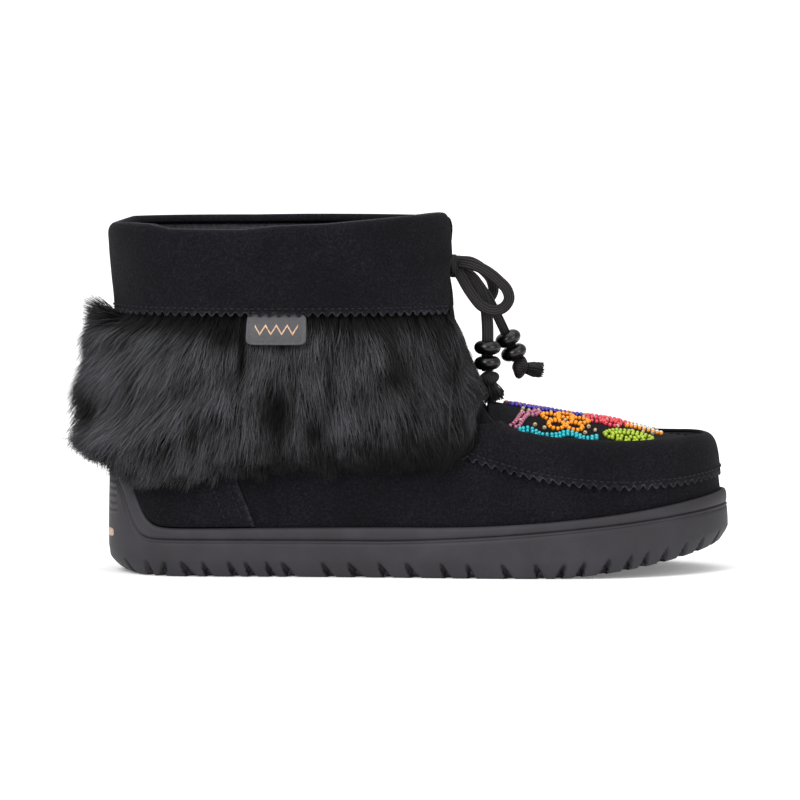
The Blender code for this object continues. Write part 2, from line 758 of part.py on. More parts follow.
def upper_out(u, v, out):
    """A point at a distance out from the upper's outer face, along the form's normal."""
    u, v = np.broadcast_arrays(np.asarray(u, float), np.asarray(v, float))
    step = 2e-3
    on_shaft = np.abs(wrapped(u)) <= CORNER + step
    near = np.where(on_shaft, np.clip(wrapped(u), 2 * step - CORNER, CORNER - 2 * step), u)
    along = upper_form(near + step, v) - upper_form(near - step, v)
    rising = upper_form(near, np.minimum(v + step, 1.0)) - upper_form(near, np.maximum(v - step, 0.0))
    normal = np.cross(rising, along)
    normal /= np.linalg.norm(normal, axis=-1, keepdims=True)
    return upper_point(u, v) + normal * np.broadcast_to(out, u.shape)[..., None]


def row_at_height(u, z):
    """The row number at which each column reaches a height."""
    u, z = np.broadcast_arrays(np.asarray(u, float), np.asarray(z, float))
    rows = np.array(UPPER_ROWS)
    heights = upper_point(u[..., None], rows)[..., 2]
    flat = [
        np.interp(height, np.maximum.accumulate(column), rows)
        for column, height in zip(heights.reshape(-1, len(rows)), z.reshape(-1))
    ]
    return np.array(flat).reshape(u.shape)


def beside_upper(u, z, out):
    """A point at a height and at a level distance out from the upper; over the collar it stays over the edge."""
    u, z, out = np.broadcast_arrays(np.asarray(u, float), np.asarray(z, float), np.asarray(out, float))
    v = row_at_height(u, np.minimum(z, upper_point(u, 1.0)[..., 2] - 0.01))
    base = upper_point(u, v)
    level = upper_out(u, v, 1.0) - base
    level[..., 2] = 0.0
    level /= np.linalg.norm(level, axis=-1, keepdims=True)
    point = base + level * out[..., None]
    point[..., 2] = z
    return point


def add_upper(collection):
    """The upper: one hollow wall from the cup's floor to the collar, open at the throat, the plug and below."""
    u = all_columns()
    foot = in_space(outline(u, RIM_LIP + GAP), cup_floor(sole_x(u)) + GAP)
    rows = upper_form(u[:, None], np.array(UPPER_ROWS))
    points = np.concatenate([foot[:, None], rows], 1)
    columns, count = points.shape[:2]
    faces = lattice_faces(columns, count, True)
    add_piece(collection, "upper", points.reshape(-1, 3), faces, SUEDE, WALL)


def add_insole(collection):
    """The insole: a slab on the cup's floor, inside the upper's wall, a little narrower at its top."""
    u = all_columns()
    x = sole_x(u)
    clear = RIM_LIP + GAP + WALL + GAP
    low = cup_floor(x) + GAP
    rings = [
        in_space(outline(u, clear), low),
        in_space(outline(u, clear + INSOLE_DRAFT), low + INSOLE),
    ]
    count = len(u)
    faces = [(k, count + k, count + (k + 1) % count, (k + 1) % count) for k in range(count)]
    faces += cross_cap(list(range(count)), list(rings[0][:, 0]))
    faces += cross_cap(list(range(count, 2 * count)), list(rings[1][:, 0]))
    add_piece(collection, "insole", np.concatenate(rings), faces, FOAM)


def add_vamp_plug(collection):
    """The plug: a domed sheet between the two sides of the seam, from the toe back to the tongue."""
    steps = np.arange(PLUG_START, HALF_COLUMNS) / HALF_COLUMNS
    across = np.linspace(0.0, 1.0, PLUG_ACROSS + 1)
    clear = 1.5 * GAP + PLUG_EASE * steps[:, None] ** 8
    inner = upper_edge(steps) - in_space(outline_normal(steps), 0.0) * clear
    outer = upper_edge(-steps) - in_space(outline_normal(-steps), 0.0) * clear
    lines = outer[:, None] * (1 - across)[None, :, None] + inner[:, None] * across[None, :, None]
    ridge = column_table(PLUG_RIDGE, "z", lines[..., 0])
    lines[..., 2] += (ridge - lines[..., 2]) * (1 - (2 * across - 1) ** 2)
    tip = upper_edge(np.array(1.0)) - (GAP + 2 * PLUG_EASE, 0.0, 0.0)
    points = np.concatenate([lines.reshape(-1, 3), [tip]])
    rows = len(across)
    faces = []
    for i in range(len(steps) - 1):
        for j in range(rows - 1):
            a, b = i * rows + j, (i + 1) * rows + j
            faces.append((a, b, b + 1, a + 1))
    last = (len(steps) - 1) * rows
    faces += [(last + j, len(points) - 1, last + j + 1) for j in range(rows - 1)]
    add_piece(collection, "vamp_plug", points, faces, SUEDE, PLUG_WALL)


def pinked_strip(points, faces, lattice, pitch, depth_line):
    """Adds zigzag teeth under the first row of a lattice, each tooth a pitch wide, down to the depth line."""
    rows = lattice.shape[1]
    roots = lattice[:, 0]
    count = len(roots)
    valleys = roots + (depth_line - roots) * VALLEY
    first_valley = len(points)
    points.extend(valleys)
    for i in range(count - 1):
        teeth = max(1, round(float(np.linalg.norm(roots[i + 1] - roots[i])) / pitch))
        chain = [first_valley + i]
        for k in range(teeth):
            tip = (k + 0.5) / teeth
            chain.append(len(points))
            points.append(depth_line[i] * (1 - tip) + depth_line[i + 1] * tip)
            if k < teeth - 1:
                between = (k + 1) / teeth
                chain.append(len(points))
                points.append(valleys[i] * (1 - between) + valleys[i + 1] * between)
        chain.append(first_valley + i + 1)
        faces.append((i * rows, (i + 1) * rows, *reversed(chain)))


def add_toe_band(collection):
    """The moccasin band: a suede overlay round the toe, from the seam down to its pinked edge."""
    u = np.arange(BAND_START, 2 * HALF_COLUMNS - BAND_START + 1) / HALF_COLUMNS
    column = np.abs(wrapped(u))
    edge = column_table(BAND_EDGE, "z", column)
    depth_rows = row_at_height(u, edge)
    root_rows = row_at_height(u, edge + TOOTH_DEPTH)
    top_rows = np.minimum(BAND_TOP, row_at_height(u, np.maximum(BAND_CAP, edge + BAND_WIDTH_MIN)))
    top_rows = np.where(column < BAND_CAP_END, top_rows, BAND_TOP)
    matched = [r for r in UPPER_ROWS if BAND_MATCH_FROM < r < BAND_TOP]
    rows = [root_rows]
    for k, row in enumerate(matched):
        rows.append(np.clip(row, root_rows + (k + 1) * BAND_STEP, top_rows - (len(matched) - k) * BAND_STEP))
    rows.append(top_rows)
    beside = np.interp(column, [*BAND_REAR_FROM, *BAND_REAR_TO], [0.0, 1.0, 1.0, 0.0])
    out = OVERLAY_OUT + BAND_LIFT + BAND_REAR_LIFT * beside
    lattice = upper_out(u[:, None], np.stack(rows, 1), out[:, None])
    depth_line = upper_out(u, depth_rows, out)
    points = list(lattice.reshape(-1, 3))
    faces = lattice_faces(len(u), len(rows), False)
    pinked_strip(points, faces, lattice, TOOTH, depth_line)
    add_piece(collection, "toe_band", points, faces, SUEDE, OVERLAY)


def add_heel_counter(collection):
    """The heel counter: an overlay round the heel whose front edge slants back as it rises."""
    heights = np.linspace(0.0, 1.0, 4)
    shared = np.arange(COUNTER_COLUMNS + 1) / HALF_COLUMNS
    edge = np.full(len(heights), column_table(COUNTER_EDGE, "column", RIM_HEIGHT))
    for _ in range(3):
        half = np.stack([np.full(len(heights), k) for k in shared] + [(shared[-1] + edge) / 2, edge])
        u = np.concatenate([-half[:0:-1], half])
        low = rim_top(sole_x(u) - COUNTER_FORWARD) + COUNTER_CLEAR
        z = low + (COUNTER_TOP - low) * heights
        edge = column_table(COUNTER_EDGE, "column", z[-1])
    lattice = upper_out(u, row_at_height(u, z), OVERLAY_OUT + COUNTER_LIFT)
    faces = lattice_faces(len(u), len(heights), False)
    add_piece(collection, "heel_counter", lattice.reshape(-1, 3), faces, SUEDE, OVERLAY)


def add_cuff(collection):
    """The cuff: a suede sheet folded over the collar, with a front slit and a pinked lower edge."""
    last = round(CORNER * HALF_COLUMNS)
    u = np.arange(-last, last + 1) / HALF_COLUMNS
    out = np.array([row.out for row in CUFF_ROWS])
    z = np.array([row.z for row in CUFF_ROWS])
    sheet = beside_upper(u[:, None], z, out)
    near_edge = np.clip(u[:, None] / CORNER, 0.0, 1.0) ** CUFF_PULL_POWER
    outside = np.where(out > 0, np.exp(-(((z - CUFF_PULL_Z) / CUFF_PULL_SPREAD) ** 2)), 0.0)
    sheet[..., 0] += CUFF_PULL * near_edge * outside
    lattice = sheet[:, 1:]
    points = list(lattice.reshape(-1, 3))
    faces = lattice_faces(len(u), lattice.shape[1], False)
    pinked_strip(points, faces, lattice, TOOTH, sheet[:, 0])
    add_piece(collection, "collar_cuff", points, faces, SUEDE, CUFF_WALL)


def swept_faces(columns, ring):
    """Quads of closed sections stored one after another, with a face over the first and the last."""
    faces = []
    for i in range(columns - 1):
        for j in range(ring):
            a, b = i * ring + j, i * ring + (j + 1) % ring
            faces.append((a, b, b + ring, a + ring))
    faces.append(tuple(range(ring)))
    faces.append(tuple(range(columns * ring - 1, (columns - 1) * ring - 1, -1)))
    return faces


def tag_back(z):
    """How far out the side tag's inner face stands at a height: it leans in towards the cuff."""
    return TAG_OUT - TAG_TUCK * (z - TAG_BOTTOM) / (TAG_TOP - TAG_BOTTOM)


def under_tag(u, z, out):
    """Holds the fur down behind the side tag."""
    x = np.where(u < 0, sole_x(u), 0.0)
    behind = (x > TAG_FROM - TAG_MARGIN) & (x < TAG_FROM + TAG_LENGTH + TAG_MARGIN)
    return np.where(behind, np.minimum(out, tag_back(z) - GAP), out)


def add_fur_ruff(collection):
    """The ruff: a thick ring under the cuff whose face is drawn into locks that end in points at the hem."""
    u = np.arange(-2 * FUR_END, 2 * FUR_END + 1) / (2 * HALF_COLUMNS)
    column = np.abs(u)
    crest = np.arange(len(u)) % 2
    top = np.minimum(FUR_TOP, upper_point(u, 1.0)[:, 2] - FUR_BELOW_EDGE)
    hem = column_table(FUR_SPAN, "hem", column) - LOCK_DROP * crest
    thick = column_table(FUR_SPAN, "thick", column)
    inner = column_table(FUR_SPAN, "inner", column)
    wave = np.sin(np.arange(len(u)) * 1.7) + np.sin(np.arange(len(u)) * 0.61)
    rings = []
    for row in FUR_ROWS:
        z = top + (hem - top) * row.share
        out = FUR_SKIN + (thick - FUR_SKIN) * row.full + row.lock * (LOCK_SWELL * crest + LOCK_WAVE * wave)
        rings.append(beside_upper(u, z, under_tag(u, z, out)))
    rings.append(beside_upper(u, hem + LOCK_DROP, inner))
    rings.append(beside_upper(u, hem + (top - hem) * 0.55, FUR_SKIN + 0.8))
    rings.append(beside_upper(u, top, PELT_BACK + PELT_END * (top < FUR_TOP)))
    sections = np.stack(rings, 1)
    columns, ring = sections.shape[:2]
    add_piece(collection, "fur_ruff", sections.reshape(-1, 3), swept_faces(columns, ring), FUR)


def add_tongue(collection):
    """The tongue: a curved padded strip from under the plug's rear edge up behind the throat."""
    centre = np.array([(row.x, row.z) for row in TONGUE_ROWS])
    along = np.gradient(centre, axis=0)
    along /= np.linalg.norm(along, axis=1, keepdims=True)
    front = np.stack([along[:, 1], -along[:, 0]], -1)
    across = np.linspace(-1.0, 1.0, TONGUE_ACROSS)
    half = np.array([row.half_width for row in TONGUE_ROWS])
    radius = np.array([row.round for row in TONGUE_ROWS])
    y = half[:, None] * across
    drop = radius[:, None] - np.sqrt(radius[:, None] ** 2 - y**2)
    sheets = []
    for depth in (0.0, TONGUE):
        place = centre[:, None] - front[:, None] * (drop + depth)[..., None]
        sheets.append(np.stack([place[..., 0], y, place[..., 1]], -1))
    sections = np.concatenate([sheets[0], sheets[1][:, ::-1]], 1)
    columns, ring = sections.shape[:2]
    add_piece(collection, "tongue", sections.reshape(-1, 3), swept_faces(columns, ring), LINING)


def add_side_tag(collection):
    """The tag: a small rubber label under the cuff on the outer side, with rounded lower corners."""
    x = np.linspace(TAG_FROM, TAG_FROM + TAG_LENGTH, 7)
    x[1] = x[0] + TAG_CORNER
    x[-2] = x[-1] - TAG_CORNER
    u = -np.arccos(1.0 - 2.0 * x / SOLE_LENGTH) / np.pi
    low = np.full(x.shape, TAG_BOTTOM)
    low[[0, -1]] += TAG_CORNER
    top = np.full(x.shape, TAG_TOP)
    sections = np.stack(
        [
            beside_upper(u, low, tag_back(low) + TAG_THICK),
            beside_upper(u, top, tag_back(top) + TAG_THICK),
            beside_upper(u, top, tag_back(top)),
            beside_upper(u, low, tag_back(low)),
        ],
        1,
    )
    columns, ring = sections.shape[:2]
    add_piece(collection, "side_tag", sections.reshape(-1, 3), swept_faces(columns, ring), TAG_RUBBER)


def smooth_route(route, spacing):
    """Points at an even spacing on a smooth curve through a route's points."""
    route = np.asarray(route, float)
    steps = np.linalg.norm(np.diff(route, axis=0), axis=1)
    keys = np.concatenate([[0.0], np.cumsum(steps)])
    count = max(3, int(round(keys[-1] / spacing)) + 1)
    at = np.linspace(0.0, keys[-1], count)
    return np.stack([table_curve(keys, route[:, axis], at) for axis in range(3)], -1)


def add_cord(collection, name, route):
    """A plain tube along a route, as a curve with round section and filled caps."""
    curve = bpy.data.curves.new(name, "CURVE")
    curve.dimensions = "3D"
    curve.bevel_depth = CORD_RADIUS * MM
    curve.bevel_resolution = 1
    curve.use_fill_caps = True
    points = (smooth_route(route, 5.0) - (HEEL_SEAT, 0.0, 0.0)) * MM
    spline = curve.splines.new("POLY")
    spline.points.add(len(points) - 1)
    for place, point in zip(points, spline.points):
        point.co = (*place, 1.0)
    cord = bpy.data.objects.new(name, curve)
    collection.objects.link(cord)
    curve.materials.append(material_for(name, BRAID))


def add_lace_bar(collection):
    """The lace across the throat: a flat strip between the two edges of the cuff's slit."""
    half = COLLAR_HALF_WIDTH * math.sin(math.radians(COLLAR_END_DEG)) - 4 * GAP
    y = np.linspace(-half, half, 5)
    front = BAR_FRONT - BAR_SAG * (y / half) ** 2
    low = np.full(y.shape, BAR_HEIGHT - LACE_WIDTH / 2)
    sections = np.stack(
        [
            np.stack([front, y, low], -1),
            np.stack([front, y, low + LACE_WIDTH], -1),
            np.stack([front - LACE_THICK, y, low + LACE_WIDTH], -1),
            np.stack([front - LACE_THICK, y, low], -1),
        ],
        1,
    )
    columns, ring = sections.shape[:2]
    add_piece(collection, "lace_bar", sections.reshape(-1, 3), swept_faces(columns, ring), BRAID)


def turned_piece(collection, name, profile, steps, finish):
    """A turned solid from a profile of radius and height, run top to bottom on its outer side."""
    mesh = bpy.data.meshes.new(name)
    points = [(radius * MM, 0.0, height * MM) for radius, height in profile]
    closed = profile[0][0] > 0
    edges = [(k, k + 1) for k in range(len(points) - 1)] + ([(len(points) - 1, 0)] if closed else [])
    mesh.from_pydata(points, edges, [])
    piece = bpy.data.objects.new(name, mesh)
    collection.objects.link(piece)
    mesh.materials.append(material_for(name, finish))
    turn = piece.modifiers.new("turn", "SCREW")
    turn.steps = steps
    turn.render_steps = steps
    turn.use_merge_vertices = True
    turn.merge_threshold = 0.00002
    turn.use_smooth_shade = True
    return piece


def string_on(piece, route, from_end):
    """Threads a turned piece on a route, at a length back from its end, with its top towards the knot."""
    points = smooth_route(route, 0.5)
    lengths = np.concatenate([[0.0], np.cumsum(np.linalg.norm(np.diff(points, axis=0), axis=1))])
    at = lengths[-1] - from_end
    spot = np.array([np.interp(at, lengths, points[:, axis]) for axis in range(3)])
    last = points[-1] - points[-4]
    last /= np.linalg.norm(last)
    spot = spot + last * max(0.0, -from_end)
    near = np.array([[np.interp(at + step, lengths, points[:, axis]) for axis in range(3)] for step in (-2.0, 2.0)])
    up = Vector(near[0] - near[1])
    piece.location = Vector((spot - (HEEL_SEAT, 0.0, 0.0)) * MM)
    piece.rotation_euler = up.to_track_quat("Z", "Y").to_euler()


def bead_profile():
    """The section of a flattened pony bead, down its outer side and back up its hole."""
    turns = [math.radians(a) for a in (62, 22, -22, -62)]
    width = BEAD_RADIUS - BEAD_HOLE
    profile = [(BEAD_HOLE + width * math.cos(a), BEAD_HALF_HEIGHT * math.sin(a)) for a in turns]
    tall = BEAD_HALF_HEIGHT * 0.82
    return [(BEAD_HOLE, tall), *profile, (BEAD_HOLE, -tall)]


def add_lace(collection):
    """The lace's knot, its two bow loops, its two beaded ends and their stopper knots."""
    add_lace_bar(collection)
    steps = [math.pi * k / 6 for k in range(7)]
    ball = [(max(0.0, math.sin(a)), math.cos(a)) for a in steps]
    ball[0], ball[-1] = (0.0, 1.0), (0.0, -1.0)
    width, depth, height = KNOT_SIZE
    knot = turned_piece(collection, "lace_knot", [(r * depth, z * height) for r, z in ball], 10, BRAID)
    knot.location = ((KNOT_CENTRE[0] - HEEL_SEAT) * MM, KNOT_CENTRE[1] * MM, KNOT_CENTRE[2] * MM)
    knot.scale = (width / depth, 1.0, 1.0)
    add_cord(collection, "lace_loop_near", LOOP_NEAR)
    add_cord(collection, "lace_loop_far", LOOP_FAR)
    add_cord(collection, "lace_end_near", END_NEAR)
    add_cord(collection, "lace_end_far", END_FAR)
    for bead in BEADS:
        piece = turned_piece(collection, bead.name, bead_profile(), 10, BEAD_GLOSS)
        string_on(piece, bead.route, bead.from_end)
    for stopper in STOPPERS:
        piece = turned_piece(collection, stopper.name, STOPPER_PROFILE, 8, BRAID)
        string_on(piece, stopper.route, stopper.from_end)


def build():
    """The whole boot, from the sole up."""
    boot, tools = start_empty()
    add_outsole(boot, tools)
    add_insole(boot)
    add_upper(boot)
    add_vamp_plug(boot)
    add_tongue(boot)
    add_toe_band(boot)
    add_heel_counter(boot)
    add_fur_ruff(boot)
    add_cuff(boot)
    add_side_tag(boot)
    add_lace(boot)


build()
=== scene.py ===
"""A right-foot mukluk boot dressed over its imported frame, seen from its outer side.

X runs to the toe, Y to the inner side of the foot and Z up. The working grids are in millimetres with X from
the back of the heel, as a pattern maker measures; put() moves them onto the frame, whose origin is 38 mm forward.
A column u is 0 at the back of the heel, negative on the outer side, positive on the inner side and 1 at the toe.
"""

import math
from collections import namedtuple

import bmesh
import bpy
import numpy as np
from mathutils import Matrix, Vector


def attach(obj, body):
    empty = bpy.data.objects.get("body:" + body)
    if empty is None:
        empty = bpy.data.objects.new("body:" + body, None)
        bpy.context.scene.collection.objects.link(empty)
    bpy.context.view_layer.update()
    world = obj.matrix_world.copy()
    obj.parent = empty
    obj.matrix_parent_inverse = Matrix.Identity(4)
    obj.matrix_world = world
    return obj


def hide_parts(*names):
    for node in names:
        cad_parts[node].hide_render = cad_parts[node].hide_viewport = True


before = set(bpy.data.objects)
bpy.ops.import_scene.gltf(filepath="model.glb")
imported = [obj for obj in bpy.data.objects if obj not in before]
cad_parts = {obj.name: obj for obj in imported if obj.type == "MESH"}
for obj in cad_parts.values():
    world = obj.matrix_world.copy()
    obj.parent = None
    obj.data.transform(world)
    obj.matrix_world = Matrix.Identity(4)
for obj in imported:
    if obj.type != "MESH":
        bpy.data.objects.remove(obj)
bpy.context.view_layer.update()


# The camera: a long lens about three metres off the outer side, a little above the boot, so that the far rim of
# the collar shows as a thin dark ellipse over the near one.
CAMERA_AT = (0.0936, -3.051, 0.2792)
CAMERA_LOOK = (0.0936, -0.050, 0.0799)
CAMERA_LENS = 304.9

view = bpy.data.cameras.new("side_view")
view.lens = CAMERA_LENS
view.sensor_width = 36.0
view.clip_end = 100.0
camera = bpy.data.objects.new("side_view", view)
camera.location = CAMERA_AT
camera.rotation_euler = (Vector(CAMERA_LOOK) - Vector(CAMERA_AT)).to_track_quat("-Z", "Y").to_euler()
bpy.context.scene.collection.objects.link(camera)
bpy.context.scene.camera = camera


# The lace: a flat round-edged braid 5 mm wide and 1.5 mm thick, tied in a small bow in front of the collar. Its
# warp threads run lengthwise as fine ribs. Each end carries two gloss beads above a stopper knot with a frayed tip.
LACE_WIDTH = 5.0
LACE_THICK = 1.5
RIB_PITCH = 1.15
RIB_DEPTH = 0.16
ROUTE_STEP = 0.8  # spacing of the braid's sections along its route
BRAID_SIDES = 44
LOOP_NEAR = (
    (158.6, -4.0, 139.0), (163.9, -6.6, 138.1), (170.2, -8.8, 135.4), (176.1, -10.0, 130.8),
    (179.7, -10.6, 126.8), (180.6, -10.6, 122.7), (178.4, -10.4, 119.1), (173.8, -9.8, 117.5),
    (168.4, -8.8, 119.5), (164.4, -7.8, 124.1), (161.2, -6.4, 129.0), (158.6, -4.8, 133.6), (156.4, -3.2, 136.4),
)
LOOP_FAR = (
    (158.2, 3.0, 139.4), (163.8, 8.6, 138.4), (169.0, 12.8, 135.0), (173.0, 15.6, 130.0),
    (173.8, 16.4, 124.6), (171.0, 15.0, 120.8), (166.8, 12.0, 121.4), (163.2, 8.8, 125.2),
    (160.0, 5.6, 131.2),
)
END_NEAR = (
    (159.4, -1.5, 135.3), (164.4, -2.6, 131.6), (167.8, -3.2, 126.6), (170.0, -3.6, 120.1),
    (170.9, -3.9, 112.5), (171.1, -4.0, 105.0), (170.9, -4.0, 97.5), (171.1, -4.0, 89.9),
)
END_FAR = (
    (158.8, 1.9, 135.2), (164.8, 4.4, 131.4), (169.0, 6.2, 126.0), (172.8, 7.6, 119.8),
    (175.9, 8.8, 113.6), (179.0, 9.9, 107.0), (181.6, 10.7, 101.0), (184.4, 11.6, 94.0),
)
HEEL_SEAT = 38.0


def linear(hex_colour):
    """An sRGB hex colour as linear red, green, blue and an alpha of 1."""
    channels = [int(hex_colour[i : i + 2], 16) / 255 for i in (0, 2, 4)]
    return (*[c / 12.92 if c <= 0.04045 else ((c + 0.055) / 1.055) ** 2.4 for c in channels], 1.0)


def add_node(material, kind, inputs=None, stops=(), **settings):
    """Adds a node to a material, sets its properties and colour stops, and gives each named input a value or a link."""
    node = material.node_tree.nodes.new(kind)
    for name, value in settings.items():
        setattr(node, name, value)
    for name, value in (inputs or {}).items():
        if isinstance(value, bpy.types.NodeSocket):
            material.node_tree.links.new(value, node.inputs[name])
        else:
            node.inputs[name].default_value = value
    for k, (place, colour) in enumerate(stops):
        element = node.color_ramp.elements[k] if k < 2 else node.color_ramp.elements.new(place)
        element.position, element.color = place, linear(colour)
    return node


def new_material(name, roughness, **sockets):
    """A material whose Principled shader has these constant values, its shader node and its Object coordinates."""
    material = bpy.data.materials.new(name)
    material.use_nodes = True
    shader = material.node_tree.nodes["Principled BSDF"]
    shader.inputs["Roughness"].default_value = roughness
    for label, value in sockets.items():
        shader.inputs[label.replace("_", " ")].default_value = value
    return material, shader, add_node(material, "ShaderNodeTexCoord").outputs["Object"]


def dress(material, shader, height, depth_mm, colour=None, stops=()):
    """Colours a material through stops by a height of 0 to 1 and raises it by that height's depth in millimetres."""
    if stops:
        ramp = add_node(material, "ShaderNodeValToRGB", {"Fac": height if colour is None else colour}, stops=stops)
        material.node_tree.links.new(ramp.outputs["Color"], shader.inputs["Base Color"])
    bump = add_node(material, "ShaderNodeBump", {"Distance": depth_mm * 0.001, "Height": height})
    material.node_tree.links.new(bump.outputs["Normal"], shader.inputs["Normal"])


def grained_material(name, roughness, scale, detail, depth_mm, stops, **sockets):
    """A material that one fine noise on Object coordinates both colours through its stops and raises by its depth."""
    material, shader, place = new_material(name, roughness, **sockets)
    grain = add_node(material, "ShaderNodeTexNoise", {"Vector": place, "Scale": scale, "Detail": detail})
    dress(material, shader, grain.outputs["Fac"], depth_mm, stops=stops)
    return material


def healed(piece, weld_mm=0.0, holes=0):
    """Closes a piece: merges points closer than weld_mm, fills holes of up to so many sides, and turns faces out."""
    mesh = bmesh.new()
    mesh.from_mesh(piece.data)
    if weld_mm:
        bmesh.ops.remove_doubles(mesh, verts=mesh.verts, dist=weld_mm * 0.001)
        bmesh.ops.dissolve_degenerate(mesh, dist=1e-7, edges=mesh.edges)
    if holes:
        bmesh.ops.holes_fill(mesh, edges=mesh.edges, sides=holes)
    bmesh.ops.recalc_face_normals(mesh, faces=mesh.faces)
    mesh.to_mesh(piece.data)
    mesh.free()
    return piece


def put(name, points, faces, material, node=None, uv=None):
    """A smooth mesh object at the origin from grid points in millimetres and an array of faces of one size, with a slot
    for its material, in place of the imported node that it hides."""
    points = (np.asarray(points, float).reshape(-1, 3) - (HEEL_SEAT, 0.0, 0.0)) * 0.001
    faces = np.asarray(faces, np.int32)
    mesh = bpy.data.meshes.new(name)
    mesh.vertices.add(len(points))
    mesh.vertices.foreach_set("co", points.astype(np.float32).ravel())
    mesh.loops.add(faces.size)
    mesh.loops.foreach_set("vertex_index", faces.ravel())
    mesh.polygons.add(len(faces))
    mesh.polygons.foreach_set("loop_start", np.arange(0, faces.size, faces.shape[1], dtype=np.int32))
    if uv is not None:
        layer = mesh.uv_layers.new(name="UVMap")
        layer.data.foreach_set("uv", np.asarray(uv, np.float32).reshape(-1, 2)[faces.ravel()].ravel())
    mesh.update(calc_edges=True)
    mesh.validate()
    mesh.shade_smooth()
    mesh.materials.append(material)
    piece = bpy.data.objects.new(name, mesh)
    bpy.context.scene.collection.objects.link(piece)
    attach(piece, "root")
    if node is not None:
        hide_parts(node)
    return piece


def mark_points(piece, name, values):
    """Stores one number for each point of a piece, for its material to read."""
    mark = piece.data.attributes.new(name, "FLOAT", "POINT")
    mark.data.foreach_set("value", values.astype(np.float32))


def grid_faces(columns, rows, close_columns=False, close_rows=False):
    """Quads over points stored column by column, facing out where columns run forward and rows run up."""
    i, j = np.meshgrid(
        np.arange(columns if close_columns else columns - 1),
        np.arange(rows if close_rows else rows - 1),
        indexing="ij",
    )
    after, above = (i + 1) % columns, (j + 1) % rows
    quads = np.stack([i * rows + j, i * rows + above, after * rows + above, after * rows + j], -1)
    return quads.reshape(-1, 4)


def many(faces, count, points):
    """The faces of a shape that is repeated count times, each with so many points of its own."""
    return (np.arange(count)[:, None, None] * points + faces[None]).reshape(-1, faces.shape[-1])


def table_curve(keys, values, at):
    """A smooth curve through a table's rows: cubic pieces whose slopes come from the neighbouring rows."""
    keys, values = np.asarray(keys, float), np.asarray(values, float)
    at = np.clip(at, keys[0], keys[-1])
    slopes = np.gradient(values, keys)
    i = np.clip(np.searchsorted(keys, at, side="right") - 1, 0, len(keys) - 2)
    span = keys[i + 1] - keys[i]
    s = (at - keys[i]) / span
    start = (1 + 2 * s) * (1 - s) ** 2 * values[i] + s * (1 - s) ** 2 * span * slopes[i]
    return start + s**2 * (3 - 2 * s) * values[i + 1] + s**2 * (s - 1) * span * slopes[i + 1]


def run_of(line):
    """How far along a line of points each of them lies."""
    return np.concatenate([[0.0], np.cumsum(np.linalg.norm(np.diff(line, axis=0), axis=1))])


def read_line(line, run, at):
    """The places at given runs along a line of points."""
    return np.stack([np.interp(at, run, line[:, axis]) for axis in range(line.shape[1])], -1)


def smooth_route(route, spacing):
    """Points at an even spacing on a smooth curve through a route's points."""
    route = np.asarray(route, float)
    keys = run_of(route)
    at = np.linspace(0.0, keys[-1], max(3, int(round(keys[-1] / spacing)) + 1))
    return np.stack([table_curve(keys, route[:, axis], at) for axis in range(3)], -1)


def unit(vectors):
    """The same directions with a length of one."""
    return vectors / np.maximum(np.linalg.norm(vectors, axis=-1, keepdims=True), 1e-9)


def full_turn(count):
    """Angles at even steps round a circle, without the first one again at the end."""
    return np.linspace(0.0, 2 * np.pi, count, endpoint=False)


def squarish(wave, power):
    """A sine or cosine whose size is raised to a power: below 1 it squares a circle's corners, above 1 it pulls them
    in."""
    return np.sign(wave) * np.abs(wave) ** power


def braid_along(name, route, facing, node, width=LACE_WIDTH, thick=LACE_THICK):
    """A flat braid along a route: a rounded-rectangle section, x = w cos t and y = h sin t raised to a power, whose
    broad side looks along facing. UV runs 1 to a millimetre round the section and along the braid."""
    path = smooth_route(route, ROUTE_STEP)
    along = unit(np.gradient(path, axis=0))
    face = np.asarray(facing, float) - along * (along @ np.asarray(facing, float))[:, None]
    face = unit(face)
    side = np.cross(along, face)
    turn = full_turn(BRAID_SIDES)
    across = squarish(np.cos(turn), 0.55) * width / 2
    out = squarish(np.sin(turn), 0.75) * thick / 2
    ribs = -RIB_DEPTH * np.cos(across * 2 * np.pi / RIB_PITCH) * (np.abs(np.sin(turn)) > 0.3) * np.sign(out)
    ring = path[:, None] + side[:, None] * across[:, None] + face[:, None] * (out + ribs)[:, None]
    caps = np.stack([ring[0].mean(0), ring[-1].mean(0)])
    k = np.arange(BRAID_SIDES)
    after = (k + 1) % BRAID_SIDES
    end = (len(path) - 1) * BRAID_SIDES
    middle = np.full(BRAID_SIDES, len(path) * BRAID_SIDES)
    fans = [np.stack([after, k, middle, middle], -1)]
    fans.append(np.stack([end + k, end + after, middle + 1, middle + 1], -1))
    length = run_of(path)
    uv = np.stack(np.broadcast_arrays(across[None, :], length[:, None]), -1).reshape(-1, 2)
    uv = np.concatenate([uv, [[0.0, 0.0], [0.0, length[-1]]]])
    faces = np.concatenate([grid_faces(len(path), BRAID_SIDES, close_rows=True), *fans])
    piece = put(name, np.concatenate([ring.reshape(-1, 3), caps]), faces, braid, node, uv)
    healed(piece, weld_mm=1e-4)
    return piece, (path - (HEEL_SEAT, 0.0, 0.0)) * 0.001, float(length[-1]) * 0.001
